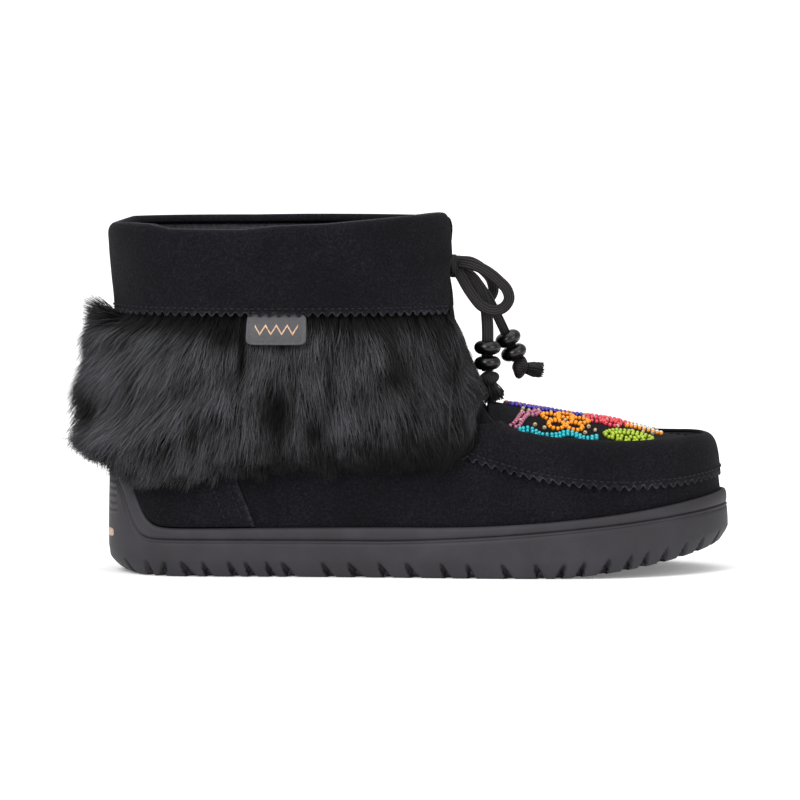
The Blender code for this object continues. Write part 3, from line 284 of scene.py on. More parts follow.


# Polyester braid, round-woven and pressed flat: lengthwise ribs with dark lines between them, crossed by a fine V of
# threads that gives it a soft sheen. The colour follows the braid's height, so the dark lines between the ribs and the
# lows between the threads are painted shade.
braid, braid_shader, _ = new_material(
    "polyester_braid", 0.62, Sheen_Weight=0.05, Sheen_Roughness=0.5, Specular_IOR_Level=0.2
)
braid_uv = add_node(braid, "ShaderNodeUVMap", uv_map="UVMap")
braid_apart = add_node(braid, "ShaderNodeSeparateXYZ", {"Vector": braid_uv.outputs["UV"]})
braid_fold = add_node(braid, "ShaderNodeMath", {0: braid_apart.outputs["X"], 1: RIB_PITCH / 2}, operation="PINGPONG")
braid_slope = add_node(
    braid, "ShaderNodeMath", {0: braid_apart.outputs["Y"], 1: braid_fold.outputs[0]}, operation="ADD"
)
braid_thread = add_node(braid, "ShaderNodeMath", {0: braid_slope.outputs[0], 1: 0.45}, operation="PINGPONG")
braid_rib = add_node(braid, "ShaderNodeMath", {0: braid_fold.outputs[0], 1: 1.25}, operation="MULTIPLY")
braid_height = add_node(
    braid, "ShaderNodeMath", {0: braid_thread.outputs[0], 1: 0.75, 2: braid_rib.outputs[0]}, operation="MULTIPLY_ADD"
)
# The colour darkens where the braid is low, as painted shade between its ribs and threads.
dress(
    braid, braid_shader, braid_height.outputs[0], 0.2,
    stops=((0.12, "040304"), (0.45, "121011"), (0.80, "242122"), (1.0, "302c2d")),
)

loop_near = braid_along("lace_loop_near_braid", LOOP_NEAR, (-0.15, -1.0, 0.25), "lace_loop_near")
loop_far = braid_along("lace_loop_far_braid", LOOP_FAR, (-0.3, -1.0, 0.3), "lace_loop_far")
end_near = braid_along("lace_end_near_braid", END_NEAR, (0.25, -1.0, 0.0), "lace_end_near", 5.4, 2.0)
end_far = braid_along("lace_end_far_braid", END_FAR, (0.2, -1.0, 0.2), "lace_end_far", 4.4, 2.0)


def knot_ball(turns, rows, swell, ridges, twist):
    """A ball whose radius swells by ridges that spiral round it, r = 1 + a cos(n t + k p) cos p: its angles t and p,
    and its points."""
    t, p = np.meshgrid(full_turn(turns), np.linspace(-np.pi / 2, np.pi / 2, rows), indexing="ij")
    r = 1.0 + swell * np.cos(ridges * t + twist * p) * np.cos(p)
    return t, p, np.stack([np.cos(p) * np.cos(t), np.cos(p) * np.sin(t), np.sin(p)], -1) * r[..., None]


KNOT_RADII = (3.9, 4.5, 5.2)
KNOT_MIDDLE = (155.9, -0.8, 137.2)
KNOT_SIDES, KNOT_ROWS = 48, 27
knot_turn, knot_rise, knot_points = knot_ball(KNOT_SIDES, KNOT_ROWS, 0.10, 3, 2.6)
knot_uv = np.stack([knot_turn * KNOT_RADII[0], knot_rise * KNOT_RADII[2]], -1).reshape(-1, 2)
knot_points = knot_points * np.asarray(KNOT_RADII) + np.asarray(KNOT_MIDDLE)
knot_faces = grid_faces(KNOT_SIDES, KNOT_ROWS, close_columns=True)
knot = healed(put("lace_knot_braid", knot_points, knot_faces, braid, "lace_knot", knot_uv), weld_mm=1e-3)

THREADS = 240  # in each frayed end
THREAD_RADIUS = 0.32
THREAD_LENGTH = (6.0, 9.2)
BRUSH_RADIUS = 2.3
STOPPER_RADII = (4.8, 4.4, 3.6)
STOPPER_SIDES, STOPPER_ROWS = 36, 19


def frayed(node, top, axis, tail, spread):
    """A stopper knot and under it the braid's threads, which leave it along tail and spread as a brush. A thread is a
    tube of three sides with one bend."""
    axis, tail = unit(np.asarray(axis, float)), unit(np.asarray(tail, float))
    middle = np.asarray(top) + axis * 3.4
    rng = np.random.default_rng(7 + int(abs(top[0])))
    side = unit(np.cross(tail, (0.0, 1.0, 0.0)))
    other = np.cross(tail, side)
    t, p, ball = knot_ball(STOPPER_SIDES, STOPPER_ROWS, 0.13, 2, 2.8)
    knot_points = (ball * STOPPER_RADII) @ np.stack([side, other, -tail]) + middle
    turn = rng.uniform(0, 2 * np.pi, THREADS)
    reach = np.sqrt(rng.uniform(0, 1, THREADS))
    round_ = side * np.cos(turn)[:, None] + other * np.sin(turn)[:, None]
    foot = middle + tail * 1.6 + round_ * (BRUSH_RADIUS * reach)[:, None]
    tip = foot + tail * rng.uniform(*THREAD_LENGTH, THREADS)[:, None] + round_ * (spread * reach)[:, None]
    bend = (foot + tip) / 2 + rng.normal(0, 0.35, (THREADS, 3))
    corner = np.stack([side * np.cos(a) + other * np.sin(a) for a in (0.0, 2.1, 4.2)]) * THREAD_RADIUS
    tubes = np.stack([foot, bend, tip], 1)[:, :, None] + corner
    threads = many(grid_faces(3, 3, close_rows=True), THREADS, 9) + STOPPER_SIDES * STOPPER_ROWS
    points = np.concatenate([knot_points.reshape(-1, 3), tubes.reshape(-1, 3)])
    uv = np.concatenate([np.stack([t * 4, p * 3.3], -1).reshape(-1, 2), np.full((THREADS * 9, 2), 0.2)])
    faces = np.concatenate([grid_faces(STOPPER_SIDES, STOPPER_ROWS, close_columns=True), threads])
    return healed(put(f"{node}_frayed", points, faces, braid, node, uv), weld_mm=1e-3, holes=3)


stopper_near = frayed("stopper_near", (171.1, -4.0, 89.7), (0.03, 0.0, -1.0), (0.34, 0.0, -1.0), 3.0)
stopper_far = frayed("stopper_far", (184.5, 11.7, 93.7), (0.5, 0.18, -0.96), (1.0, 0.1, -0.15), 1.2)

# Black wooden beads under a satin lacquer, turned as flat lentils: their rounded rims catch one soft highlight.
lacquer = grained_material(
    "lacquered_bead", 0.28, 300.0, 3.0, 0.05, ((0.3, "030303"), (0.7, "080809")), Specular_IOR_Level=0.4
)
BEAD_MIDDLE = 3.1  # radius of the bead ring's middle
BEAD_SWELL = 2.95
BEAD_HALF = 3.05
BEAD_HOLE = 1.3
BEAD_TURNS, BEAD_ROUND = 48, 20  # faces round the bead and round its ring
BEAD_LEVELS = (("top", 10.6), ("low", 3.7))  # distance of each bead's middle from the lace's end


def bead_on(node, route, from_end):
    """A bead threaded on a route: its radius is the middle plus the swell by the cosine of t to the power 1.15, and
    its height the half by the sine of t, about the route's direction."""
    path = smooth_route(route, 0.5)
    length = run_of(path)
    spot, above, below = (read_line(path, length, length[-1] - from_end + step) for step in (0.0, -2.0, 2.0))
    up = unit(above - below)
    side = unit(np.cross(up, (0.0, 1.0, 0.0)))
    other = np.cross(up, side)
    turn, round_ = np.meshgrid(full_turn(BEAD_TURNS), full_turn(BEAD_ROUND), indexing="ij")
    radius = np.maximum(BEAD_MIDDLE + BEAD_SWELL * squarish(np.cos(round_), 1.15), BEAD_HOLE)
    points = spot + side * (radius * np.cos(turn))[..., None] + other * (radius * np.sin(turn))[..., None]
    points = points + up * (BEAD_HALF * np.sin(round_))[..., None]
    return healed(put(f"{node}_gloss", points, grid_faces(BEAD_TURNS, BEAD_ROUND, True, True), lacquer, node))


beads_near = [bead_on(f"bead_near_{level}", END_NEAR, from_end) for level, from_end in BEAD_LEVELS]
beads_far = [bead_on(f"bead_far_{level}", END_FAR, from_end) for level, from_end in BEAD_LEVELS]


# The sole: one piece of matt grey rubber, compression moulded as a cup. Its edge is cut by slanted claw grooves
# between the lugs, and a rim stands over one deep and one faint groove. The rubber climbs the heel's back as a tab.
SOLE_LENGTH = 280.0
SOLE_COLUMNS = 440  # on each side
HEEL_ARC = 38.0  # length of the outline's round heel
TOE_ARC = 62.0
TOE_RISE = 13.0
RISE_FROM = 200.0
TREAD_DEPTH = 4.5
RECESS = 15.5  # how far in the tread's recess starts
NOTCH_TOP = 7.0
NOTCH_CUT = 4.2
RIM_LIP = 3.4
HEEL_ROUND = 5.6
HEEL_ROUND_TOP = 15.0
Width = namedtuple("Width", "x outer inner")
SOLE_WIDTHS = [Width(*row) for row in (
    (0, 36.5, 35.5), (40, 38.0, 36.5), (90, 40.0, 34.0), (135, 44.5, 37.0), (175, 49.5, 45.0), (205, 51.0, 50.5),
    (240, 50.5, 51.5), (280, 49.0, 50.0),
)]
Notch = namedtuple("Notch", "x width lean")  # lean: how far forward the notch's top is from its foot
NOTCHES = [Notch(*row) for row in (
    (1.1, 3.0, 0.0), (9.5, 3.0, -2.5), (18.4, 4.2, -0.4), (24.2, 3.2, 2.1), (39.0, 5.0, -5.5), (47.0, 3.4, -4.0),
    (58.7, 3.4, -3.9), (66.2, 3.4, -3.9), (75.2, 3.2, -3.6), (83.8, 4.6, -5.0), (101.0, 3.6, -4.3),
    (113.7, 5.4, -5.4), (126.4, 4.2, -4.5), (138.7, 4.6, -4.6), (153.1, 3.2, -3.6), (163.6, 3.2, -2.3),
    (180.8, 3.8, -4.1), (194.8, 3.6, -3.1), (201.8, 3.4, 3.2), (210.6, 3.6, 3.4), (221.8, 4.0, 3.4),
    (232.4, 3.6, 3.0), (240.4, 3.4, 2.5), (249.4, 4.0, 2.3), (258.5, 3.4, 2.0), (266.7, 3.4, 1.8), (274.6, 3.2, 1.8),
    (280.0, 3.6, 0.0),
)]


def column_table(table, field, at):
    """A named column of a table, read at any value of its first column."""
    return table_curve([row[0] for row in table], [getattr(row, field) for row in table], at)


def wrapped(u):
    """The same column as a number from -1 to 1."""
    return (np.asarray(u, float) + 1.0) % 2.0 - 1.0


def sole_x(u):
    """How far forward a column stands on the sole: x = 140 (1 - cos(pi |u|))."""
    return SOLE_LENGTH * (1.0 - np.cos(np.pi * np.abs(wrapped(u)))) / 2.0


def sole_column(x):
    """The inner side's column that stands so far forward on the sole."""
    return np.arccos(1.0 - 2.0 * x / SOLE_LENGTH) / np.pi


def sole_axis(x):
    """The foot's centre line in plan: it turns 6 mm inward over the last 120 mm, as a square of the way."""
    return 6.0 * np.clip((x - 160.0) / 120.0, 0.0, 1.0) ** 2


def outline_point(u):
    """The sole's widest outline in plan: table widths closed by a round heel and a round toe."""
    u = wrapped(u)
    x = sole_x(u)
    width = np.where(u < 0, column_table(SOLE_WIDTHS, "outer", x), column_table(SOLE_WIDTHS, "inner", x))
    heel = 1.0 - np.clip((HEEL_ARC - x) / HEEL_ARC, 0.0, 1.0) ** 2
    toe = 1.0 - np.clip((x - SOLE_LENGTH + TOE_ARC) / TOE_ARC, 0.0, 1.0) ** 2
    y = sole_axis(x) + np.sign(u) * width * np.sqrt(np.clip(heel * toe, 0.0, 1.0))
    return np.stack([x, y], -1)


def outline_normal(u):
    """The direction out of the sole in plan, across the outline's tangent."""
    along = outline_point(np.asarray(u) + 1e-3) - outline_point(np.asarray(u) - 1e-3)
    return unit(np.stack([-along[..., 1], along[..., 0]], -1))


def outline(u, inset=0.0):
    """The sole's outline moved in by inset."""
    return outline_point(u) - outline_normal(u) * np.asarray(inset)[..., None]


def in_space(plan, z):
    """Points in plan lifted to their heights."""
    return np.concatenate([plan, np.broadcast_to(z, plan.shape[:-1])[..., None]], -1)


def toe_spring(x):
    """How far the sole's underside has left the ground: 13 mm at the toe, from 80 mm behind it, to the power 1.5."""
    return TOE_RISE * np.clip((x - RISE_FROM) / (SOLE_LENGTH - RISE_FROM), 0.0, 1.0) ** 1.5


def rim_top(x):
    """The rim's top edge: 21.4 to 22.5 mm, 14 mm more at the toe, and up the heel tab by an S-curve of 32 mm."""
    side = 21.4 + 1.1 * np.clip((x - 40.0) / 90.0, 0.0, 1.0) + 14.0 * np.clip((x - 140.0) / 140.0, 0.0, 1.0) ** 1.9
    return side + 32.6 / (1.0 + np.exp((x - 11.4) / 2.9))


def groove_line(x):
    """The groove under the rim: 16 mm, 14 mm more at the toe, and up the heel beside the tab's edge."""
    side = 16.0 + 14.0 * np.clip((x - 120.0) / 160.0, 0.0, 1.0) ** 1.6
    return side + 31.5 / (1.0 + np.exp((x - 8.0) / 2.5))


def cup_floor(x):
    """The floor inside the cupsole."""
    return 14.0 + 0.8 * toe_spring(x)


def even_columns(count):
    """Columns at an even spacing along the outer side, heel to toe, mirrored to the inner side: toe, heel, toe."""
    u = np.linspace(0.0, 1.0, 4001)
    length = run_of(outline_point(-u))
    half = np.interp(np.linspace(0.0, length[-1], count + 1), length, u)
    return np.concatenate([-half[::-1], half[1:-1]])


def notch_share(u, share):
    """How far each column lies in an edge notch at a share of the notch's height: 1 inside, 0 outside.

    A notch's half width at a share t is 0.42 w (1 - t ** 1.8), and its middle has moved by lean t ** 0.65."""
    ring = np.linspace(-1.0, 1.0, 4001)
    length = run_of(outline_point(ring))
    here = np.interp(u, ring, length)
    x, width, lean = np.array(NOTCHES).T
    column = sole_column(x)
    middle = np.interp(np.concatenate([-column, column]), ring, length)
    away = here[:, None, None] - middle - np.concatenate([-lean, lean]) * share[None, :, None] ** 0.65
    away = np.minimum(np.abs(away), length[-1] - np.abs(away))
    half = 0.42 * np.tile(width, 2) * (1.0 - share[None, :, None] ** 1.8) + 0.15
    return np.clip((half - away) / 0.45 + 0.5, 0.0, 1.0).max(-1)


def rounding(z):
    """The share of the heel's rounding left at a height: 1 - sqrt(1 - (1 - z / 15) ** 2), none from 15 mm up."""
    return 1.0 - np.sqrt(1.0 - np.clip(1.0 - z / HEEL_ROUND_TOP, 0.0, 1.0) ** 2)


def sole_rows(u):
    """The sole's section in each column, from the recess's middle over the lugs and up the side to the rim's lip."""
    x = sole_x(u)
    ground, groove, rim = toe_spring(x), groove_line(x), rim_top(x)
    heel = HEEL_ROUND * np.exp(-((x / 10.0) ** 2))
    sharp = 1.6 + 2.6 * np.abs(2.0 * x / SOLE_LENGTH - 1.0) ** 6
    edge = sharp + heel
    share = np.linspace(0.0, 1.0, 10)
    foot = notch_share(u, np.zeros(1))[:, 0]
    recess = outline(u, edge + RECESS)
    middle = (recess + outline(-u, edge + RECESS)) / 2
    rows = []
    for step in np.linspace(0.0, 1.0, 8):
        rows.append(in_space(middle * (1 - step) + recess * step, ground + TREAD_DEPTH))
    for inset, drop, open_ in ((14.2, 0.4, 1.0), (13.6, 0.0, 1.0), (9.0, 0.0, 1.0), (5.0, 0.0, 1.0), (1.2, 0.0, 0.6)):
        rows.append(in_space(outline(u, edge + inset), ground + drop + (TREAD_DEPTH - drop) * foot * open_))
    cut = notch_share(u, share)
    for k, t in enumerate(share):
        plain = sharp * (1.0 - t) ** 1.3 + heel * rounding(NOTCH_TOP * t) + (0.5 if k == 0 else 0.0)
        gouge = NOTCH_CUT * (1.0 - t) ** 0.45
        rows.append(in_space(outline(u, plain + gouge * cut[:, k]), ground + NOTCH_TOP * t))
    low = ground + NOTCH_TOP
    for t in (0.12, 0.3, 0.5, 0.7, 0.86):
        z = low + (groove - 1.4 - low) * t
        rows.append(in_space(outline(u, 0.5 * t**2 + heel * rounding(z)), z))
    for inset, rise in (
        (0.5, -1.4), (0.85, -1.15), (0.85, -0.95), (0.5, -0.65), (0.5, -0.1), (1.8, 0.15), (1.8, 0.5), (0.75, 0.9)
    ):
        rows.append(in_space(outline(u, np.full(x.shape, inset)), groove + rise))
    for t in (0.3, 0.6, 0.85):
        swell = 0.75 - 0.25 * np.sin(np.pi * t) + 0.3 * t
        rows.append(in_space(outline(u, swell), groove + 0.9 + (rim - groove - 1.5) * t))
    for inset, drop in ((1.3, 0.5), (1.65, 0.15), (2.2, 0.0), (3.0, 0.05), (3.5, 0.5), (3.7, 6.0)):
        rows.append(in_space(outline(u, np.full(x.shape, inset)), rim - drop))
    return np.stack(rows, 1)


# Moulded rubber: matt grey with a fine pitted skin off the mould and a soft mottle. The back of the heel has a ribbed
# grip.
rubber, rubber_shader, rubber_place = new_material("moulded_rubber", 0.6, Specular_IOR_Level=0.3)
rubber_mottle = add_node(rubber, "ShaderNodeTexNoise", {"Vector": rubber_place, "Scale": 55.0, "Detail": 6.0})
rubber_grain = add_node(rubber, "ShaderNodeTexNoise", {"Vector": rubber_place, "Scale": 1100.0, "Detail": 3.0})
rubber_wave = add_node(
    rubber, "ShaderNodeTexWave",
    {"Vector": rubber_place, "Scale": 98.0, "Distortion": 1.6, "Detail Scale": 3.0}, bands_direction="Z",
)
rubber_apart = add_node(rubber, "ShaderNodeSeparateXYZ", {"Vector": rubber_place})
rubber_zone = rubber_wave.outputs["Fac"]
RIB_ZONE = (("X", -0.0335, "LESS_THAN"), ("Z", 0.0262, "GREATER_THAN"), ("Z", 0.0460, "LESS_THAN"))
for axis, limit, test in RIB_ZONE:
    rubber_test = add_node(rubber, "ShaderNodeMath", {0: rubber_apart.outputs[axis], 1: limit}, operation=test)
    rubber_part = add_node(rubber, "ShaderNodeMath", {0: rubber_zone, 1: rubber_test.outputs[0]}, operation="MULTIPLY")
    rubber_zone = rubber_part.outputs[0]
rubber_height = add_node(
    rubber, "ShaderNodeMath", {0: rubber_grain.outputs["Fac"], 1: 0.28, 2: rubber_zone}, operation="MULTIPLY_ADD"
)
dress(
    rubber, rubber_shader, rubber_height.outputs[0], 0.35, rubber_mottle.outputs["Fac"],
    ((0.3, "242226"), (0.5, "28262b"), (0.7, "2e2c31")),
)

sole_u = even_columns(SOLE_COLUMNS)
sole_grid = sole_rows(sole_u)
sole_faces = grid_faces(len(sole_u), sole_grid.shape[1], close_columns=True)
healed(put("cupsole", sole_grid, sole_faces, rubber, "outsole"), weld_mm=2e-3)


def tread_block(route, half_width, top):
    """A bar of the tread: a rounded block along a route in plan, its section a superellipse that closes at the ends."""
    path = smooth_route([(*p, 0.0) for p in route], 1.0)[:, :2]
    along = unit(np.gradient(path, axis=0))
    side = np.stack([-along[:, 1], along[:, 0]], -1)
    share = np.linspace(-1.0, 1.0, len(path))
    close = np.clip(1.0 - np.abs(share) ** 14, 0.0, 1.0) ** 0.5
    turn = full_turn(16)
    across, height = squarish(np.cos(turn), 0.35), squarish(np.sin(turn), 0.35)
    plan = path[:, None] + side[:, None] * (across * half_width)[None, :, None] * close[:, None, None]
    z = toe_spring(plan[..., 0]) + top / 2 + height * top / 2 * close[:, None]
    return in_space(plan, z), grid_faces(len(path), len(turn), close_rows=True)


BAR_PLACES = (60.0, 80.0, 140.0, 158.0, 206.0, 228.0)
BAR_SHORT = 20.0  # how far each bar stops short of the sole's edge
BAR_SWEEP = 5.0
BAR_HALF_WIDTH = 4.0
BAR_AHEAD = 4.0
PAD_PLACES = (HEEL_SEAT, 182.0)
PAD_SIDES = 64
PAD_RADIUS = np.array([0.0, 3.0, 6.0, 9.0, 10.4, 11.0, 11.0, 11.0, 11.0])
PAD_HEIGHT = np.array([0.0, 0.0, 0.0, 0.0, 0.0, 0.5, 2.0, 4.0, TREAD_DEPTH + 0.6])
blocks = []
for bar_x in BAR_PLACES:
    half = float(np.interp(bar_x, [w.x for w in SOLE_WIDTHS], [min(w.outer, w.inner) for w in SOLE_WIDTHS]))
    half = half * math.sqrt(1 - max(0.0, (bar_x - SOLE_LENGTH + TOE_ARC) / TOE_ARC) ** 2) - BAR_SHORT
    axis = float(sole_axis(bar_x))
    middle = bar_x + BAR_AHEAD
    sweep = ((-1.0, BAR_SWEEP), (-0.4, 2.0), (0.0, 0.0), (0.4, 2.0), (1.0, BAR_SWEEP))
    bar_route = [(middle - back, axis + half * share) for share, back in sweep]
    blocks.append(tread_block(bar_route, BAR_HALF_WIDTH, TREAD_DEPTH + 0.8))
pad_turn, pad_out = np.meshgrid(full_turn(PAD_SIDES), np.arange(len(PAD_RADIUS)), indexing="ij")
for pad_x in PAD_PLACES:
    radius = PAD_RADIUS[pad_out]
    disc = np.stack([pad_x + radius * np.cos(pad_turn), radius * np.sin(pad_turn), PAD_HEIGHT[pad_out]], -1)
    blocks.append((disc, grid_faces(PAD_SIDES, len(PAD_RADIUS), close_columns=True)[:, ::-1]))
block_first = np.cumsum([0] + [points[..., 0].size for points, _ in blocks])
block_points = np.concatenate([points.reshape(-1, 3) for points, _ in blocks])
block_faces = np.concatenate([faces + first for (_, faces), first in zip(blocks, block_first)])
put("tread_blocks", block_points, block_faces, rubber)

# The heel's trim: a plain bar of copper-coloured foil, hot pressed into the back of the sole. It has a soft metallic
# glint that is duller where it has worn.
BAR_LIFT = 17.9
BAR_HALF_HEIGHT = 2.1
BAR_HALF_COLUMN = 0.068
foil = grained_material(
    "copper_foil", 0.45, 900.0, 4.0, 0.05, ((0.34, "8a6f5a"), (0.46, "b3937b"), (0.7, "c4a68f")), Metallic=0.5
)
BAR_STEPS, BAR_SIDES = 41, 16
bar_turn, bar_up = np.meshgrid(np.linspace(-1.0, 1.0, BAR_STEPS), full_turn(BAR_SIDES), indexing="ij")
bar_close = np.sqrt(np.clip(1.0 - np.abs(bar_turn) ** 10, 0.0, 1.0))
bar_out = outline(bar_turn * BAR_HALF_COLUMN, 0.30 - 0.35 * np.cos(bar_up) * bar_close)
bar_lift = BAR_LIFT + BAR_HALF_HEIGHT * squarish(np.sin(bar_up), 0.5) * bar_close
put("heel_bar", in_space(bar_out, bar_lift), grid_faces(BAR_STEPS, BAR_SIDES, close_rows=True), foil)


# The footbed: a slab of dark foam under a brushed textile, loose in the cup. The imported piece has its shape, and its
# pile gives it a flat dark look.
footbed = grained_material(
    "brushed_footbed_textile", 0.95, 700.0, 4.0, 0.4, ((0.3, "18181a"), (0.7, "28282b")),
    Sheen_Weight=0.1, Sheen_Roughness=0.5, Specular_IOR_Level=0.1,
)
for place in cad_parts["insole"].material_slots:
    place.material = footbed


# The upper: one shaft and vamp of black suede over a grey brushed lining, lasted and cemented into the cup. It
# creases softly at the ankle and behind the ball of the foot.
CORNER = 17 / 32  # column of the collar's front corner
COLLAR_BACK = 3.5
COLLAR_RADIUS = 74.75  # half the collar oval's length
COLLAR_HALF = 44.0
COLLAR_TOP = 154.5
COLLAR_END = math.radians(169.0)  # where the oval stops at the slit
SEAM_START = 0.70
SEAM_INSET = 13.6
SEAM_TOP = 59.4
WALL = 2.5
UPPER_COLUMNS = 150  # on each side
UPPER_ROWS = 44
Throat = namedtuple("Throat", "column x half_width z")
THROAT = (
    Throat(0.5625, 155.2, 10.0, 122.0), Throat(0.5938, 160.6, 15.5, 94.0),
    Throat(0.6250, 171.5, 26.0, 71.6), Throat(0.6620, 190.0, 33.0, 62.4),
)
Form = namedtuple("Form", "column swell rise reach lift")
UPPER_FORM = [Form(*row) for row in (
    (0.00, 0.5, 0.30, -6.0, -40.0), (0.12, 1.0, 0.30, -5.0, -40.0), (0.25, 2.5, 0.28, -2.0, -45.0),
    (0.40, 3.0, 0.28, 0.0, -45.0), (0.53, 4.0, 0.30, 3.0, -42.0), (0.56, 4.0, 0.36, 9.0, -24.0),
    (0.585, 3.5, 0.46, 14.0, -8.0), (0.615, 3.0, 0.58, 14.0, -2.5), (0.66, 2.5, 0.66, 12.0, -1.0),
    (0.75, 1.6, 0.68, 10.5, -0.5), (0.82, 1.1, 0.70, 9.8, 1.5), (0.90, 0.0, 0.70, 9.2, 4.5),
    (1.00, -2.2, 0.70, 8.6, 4.5),
)]
Crease = namedtuple("Crease", "side x z slope half_length half_width depth")  # slope: rise per run along the crease
CREASES = [Crease(*row) for row in (
    (-1, 118.0, 40.0, 0.55, 20.0, 5.0, 0.9), (-1, 136.0, 33.0, 1.30, 12.0, 4.0, 0.7),
    (-1, 158.0, 46.0, 1.10, 16.0, 4.5, 0.9), (-1, 176.0, 56.0, 0.75, 14.0, 4.0, 0.7),
    (-1, 60.0, 36.0, 0.20, 18.0, 5.0, 0.6), (-1, 196.0, 50.0, 1.60, 10.0, 4.5, 0.5),
    (1, 112.0, 42.0, 0.60, 20.0, 5.0, 0.9), (1, 150.0, 44.0, 1.10, 16.0, 4.5, 0.8),
    (1, 172.0, 56.0, 0.80, 14.0, 4.0, 0.7), (1, 66.0, 36.0, 0.15, 18.0, 5.0, 0.6),
)]


def throat_edge(column, side):
    """The throat's edge, a smooth line from the collar's corner by the table's rows to the start of the seam."""
    corner_x = COLLAR_BACK + COLLAR_RADIUS * (1.0 - math.cos(COLLAR_END))
    corner = Throat(CORNER, corner_x, COLLAR_HALF * math.sin(COLLAR_END), COLLAR_TOP)
    lines = []
    for seam in outline(np.array([-SEAM_START, SEAM_START]), SEAM_INSET):
        rows = (corner, *THROAT, Throat(SEAM_START, seam[0], abs(seam[1] - sole_axis(seam[0])), SEAM_TOP))
        lines.append([column_table(rows, field, column) for field in ("x", "half_width", "z")])
    x = np.where(side < 0, lines[0][0], lines[1][0])
    half = np.where(side < 0, lines[0][1], lines[1][1])
    return np.stack([x, sole_axis(x) + side * half, lines[0][2]], -1)


def upper_edge(u):
    """The upper's top edge: an oval collar, then the throat down to the vamp, then the plug's seam to the toe."""
    u = wrapped(u)
    column, side = np.abs(u), np.where(u < 0, -1.0, 1.0)
    turn = np.arccos(np.clip(1.0 - (1.0 - math.cos(COLLAR_END)) * sole_x(u) / sole_x(CORNER), -1.0, 1.0))
    turn = np.minimum(turn, COLLAR_END)
    x, y = COLLAR_BACK + COLLAR_RADIUS * (1.0 - np.cos(turn)), side * COLLAR_HALF * np.sin(turn)
    collar = np.stack([x, y, np.full(u.shape, COLLAR_TOP)], -1)
    on_collar = (column <= CORNER + 1e-9)[..., None]
    on_seam = (column >= SEAM_START)[..., None]
    seam = in_space(outline(u, SEAM_INSET), SEAM_TOP)
    return np.where(on_collar, collar, np.where(on_seam, seam, throat_edge(column, side)))


def upper_form(u, v):
    """The upper's outer face: in each column a cubic arch from the sole's rim, v = 0, to the top edge, v = 1."""
    u, v = np.broadcast_arrays(wrapped(u), np.asarray(v, float))
    column = np.abs(u)
    x = sole_x(u)
    start = in_space(outline(u, RIM_LIP + 0.3), rim_top(x) + 0.8)
    end = upper_edge(u)
    out = in_space(outline_normal(u), 0.0)
    up = np.array([0.0, 0.0, 1.0])
    rise = column_table(UPPER_FORM, "rise", column) * (end[..., 2] - start[..., 2])
    first = start + out * column_table(UPPER_FORM, "swell", column)[..., None] + up * rise[..., None]
    second = end + out * column_table(UPPER_FORM, "reach", column)[..., None]
    second = second + up * column_table(UPPER_FORM, "lift", column)[..., None]
    t = v[..., None]
    return (1 - t) ** 3 * start + 3 * t * (1 - t) ** 2 * first + 3 * t**2 * (1 - t) * second + t**3 * end


def creased(place, u):
    """How far out the creases move a point: a trough -d (1 - 1.2 a) exp(-a - b), a and b the squares of how far
    across and along it lies in half widths and half lengths, so that a soft ridge runs on each side of it."""
    side = np.where(wrapped(u) < 0, -1.0, 1.0)
    out = np.zeros(side.shape)
    for crease in CREASES:
        run = np.array([1.0, crease.slope]) / math.hypot(1.0, crease.slope)
        dx, dz = place[..., 0] - crease.x, place[..., 2] - crease.z
        a = ((dz * run[0] - dx * run[1]) / crease.half_width) ** 2
        b = ((dx * run[0] + dz * run[1]) / crease.half_length) ** 2
        out -= np.where(side == crease.side, crease.depth * (1 - 1.2 * a) * np.exp(-a - b), 0.0)
    return out


def upper_out(u, v, out):
    """A point at a distance out from the upper's face along its normal, with the creases."""
    u, v = np.broadcast_arrays(np.asarray(u, float), np.asarray(v, float))
    step = 2e-3
    on_shaft = np.abs(wrapped(u)) <= CORNER + step
    near = np.where(on_shaft, np.clip(wrapped(u), 2 * step - CORNER, CORNER - 2 * step), u)
    along = upper_form(near + step, v) - upper_form(near - step, v)
    rising = upper_form(near, np.minimum(v + step, 1.0)) - upper_form(near, np.maximum(v - step, 0.0))
    place = upper_form(u, v)
    return place + unit(np.cross(rising, along)) * (out + creased(place, u))[..., None]


def row_at_height(u, z):
    """The row at which each column reaches a height, found by halving the interval of rows 18 times."""
    u, z = np.broadcast_arrays(np.asarray(u, float), np.asarray(z, float))
    low, high = np.zeros(u.shape), np.ones(u.shape)
    for _ in range(18):
        middle = (low + high) / 2
        under = upper_form(u, middle)[..., 2] < z
        low, high = np.where(under, middle, low), np.where(under, high, middle)
    return (low + high) / 2


def beside_upper(u, z, out):
    """A point at a height and at a level distance out from the upper; over the collar it stays over the edge."""
    u, z, out = np.broadcast_arrays(np.asarray(u, float), np.asarray(z, float), np.asarray(out, float))
    v = row_at_height(u, np.minimum(z, upper_form(u, 1.0)[..., 2] - 0.01))
    base = upper_form(u, v)
    level = upper_out(u, v, 1.0 - creased(base, u)) - base
    level[..., 2] = 0.0
    point = base + unit(level) * out[..., None]
    point[..., 2] = z
    return point


def wall_of(piece, thickness, lining=None):
    """Gives a sheet its thickness under its outer face, with another material inside where one is given."""
    shell = piece.modifiers.new("wall", "SOLIDIFY")
    shell.thickness = thickness * 0.001
    shell.offset = -1.0
    if lining is not None:
        piece.data.materials.append(lining)
        shell.material_offset = 1
    return piece


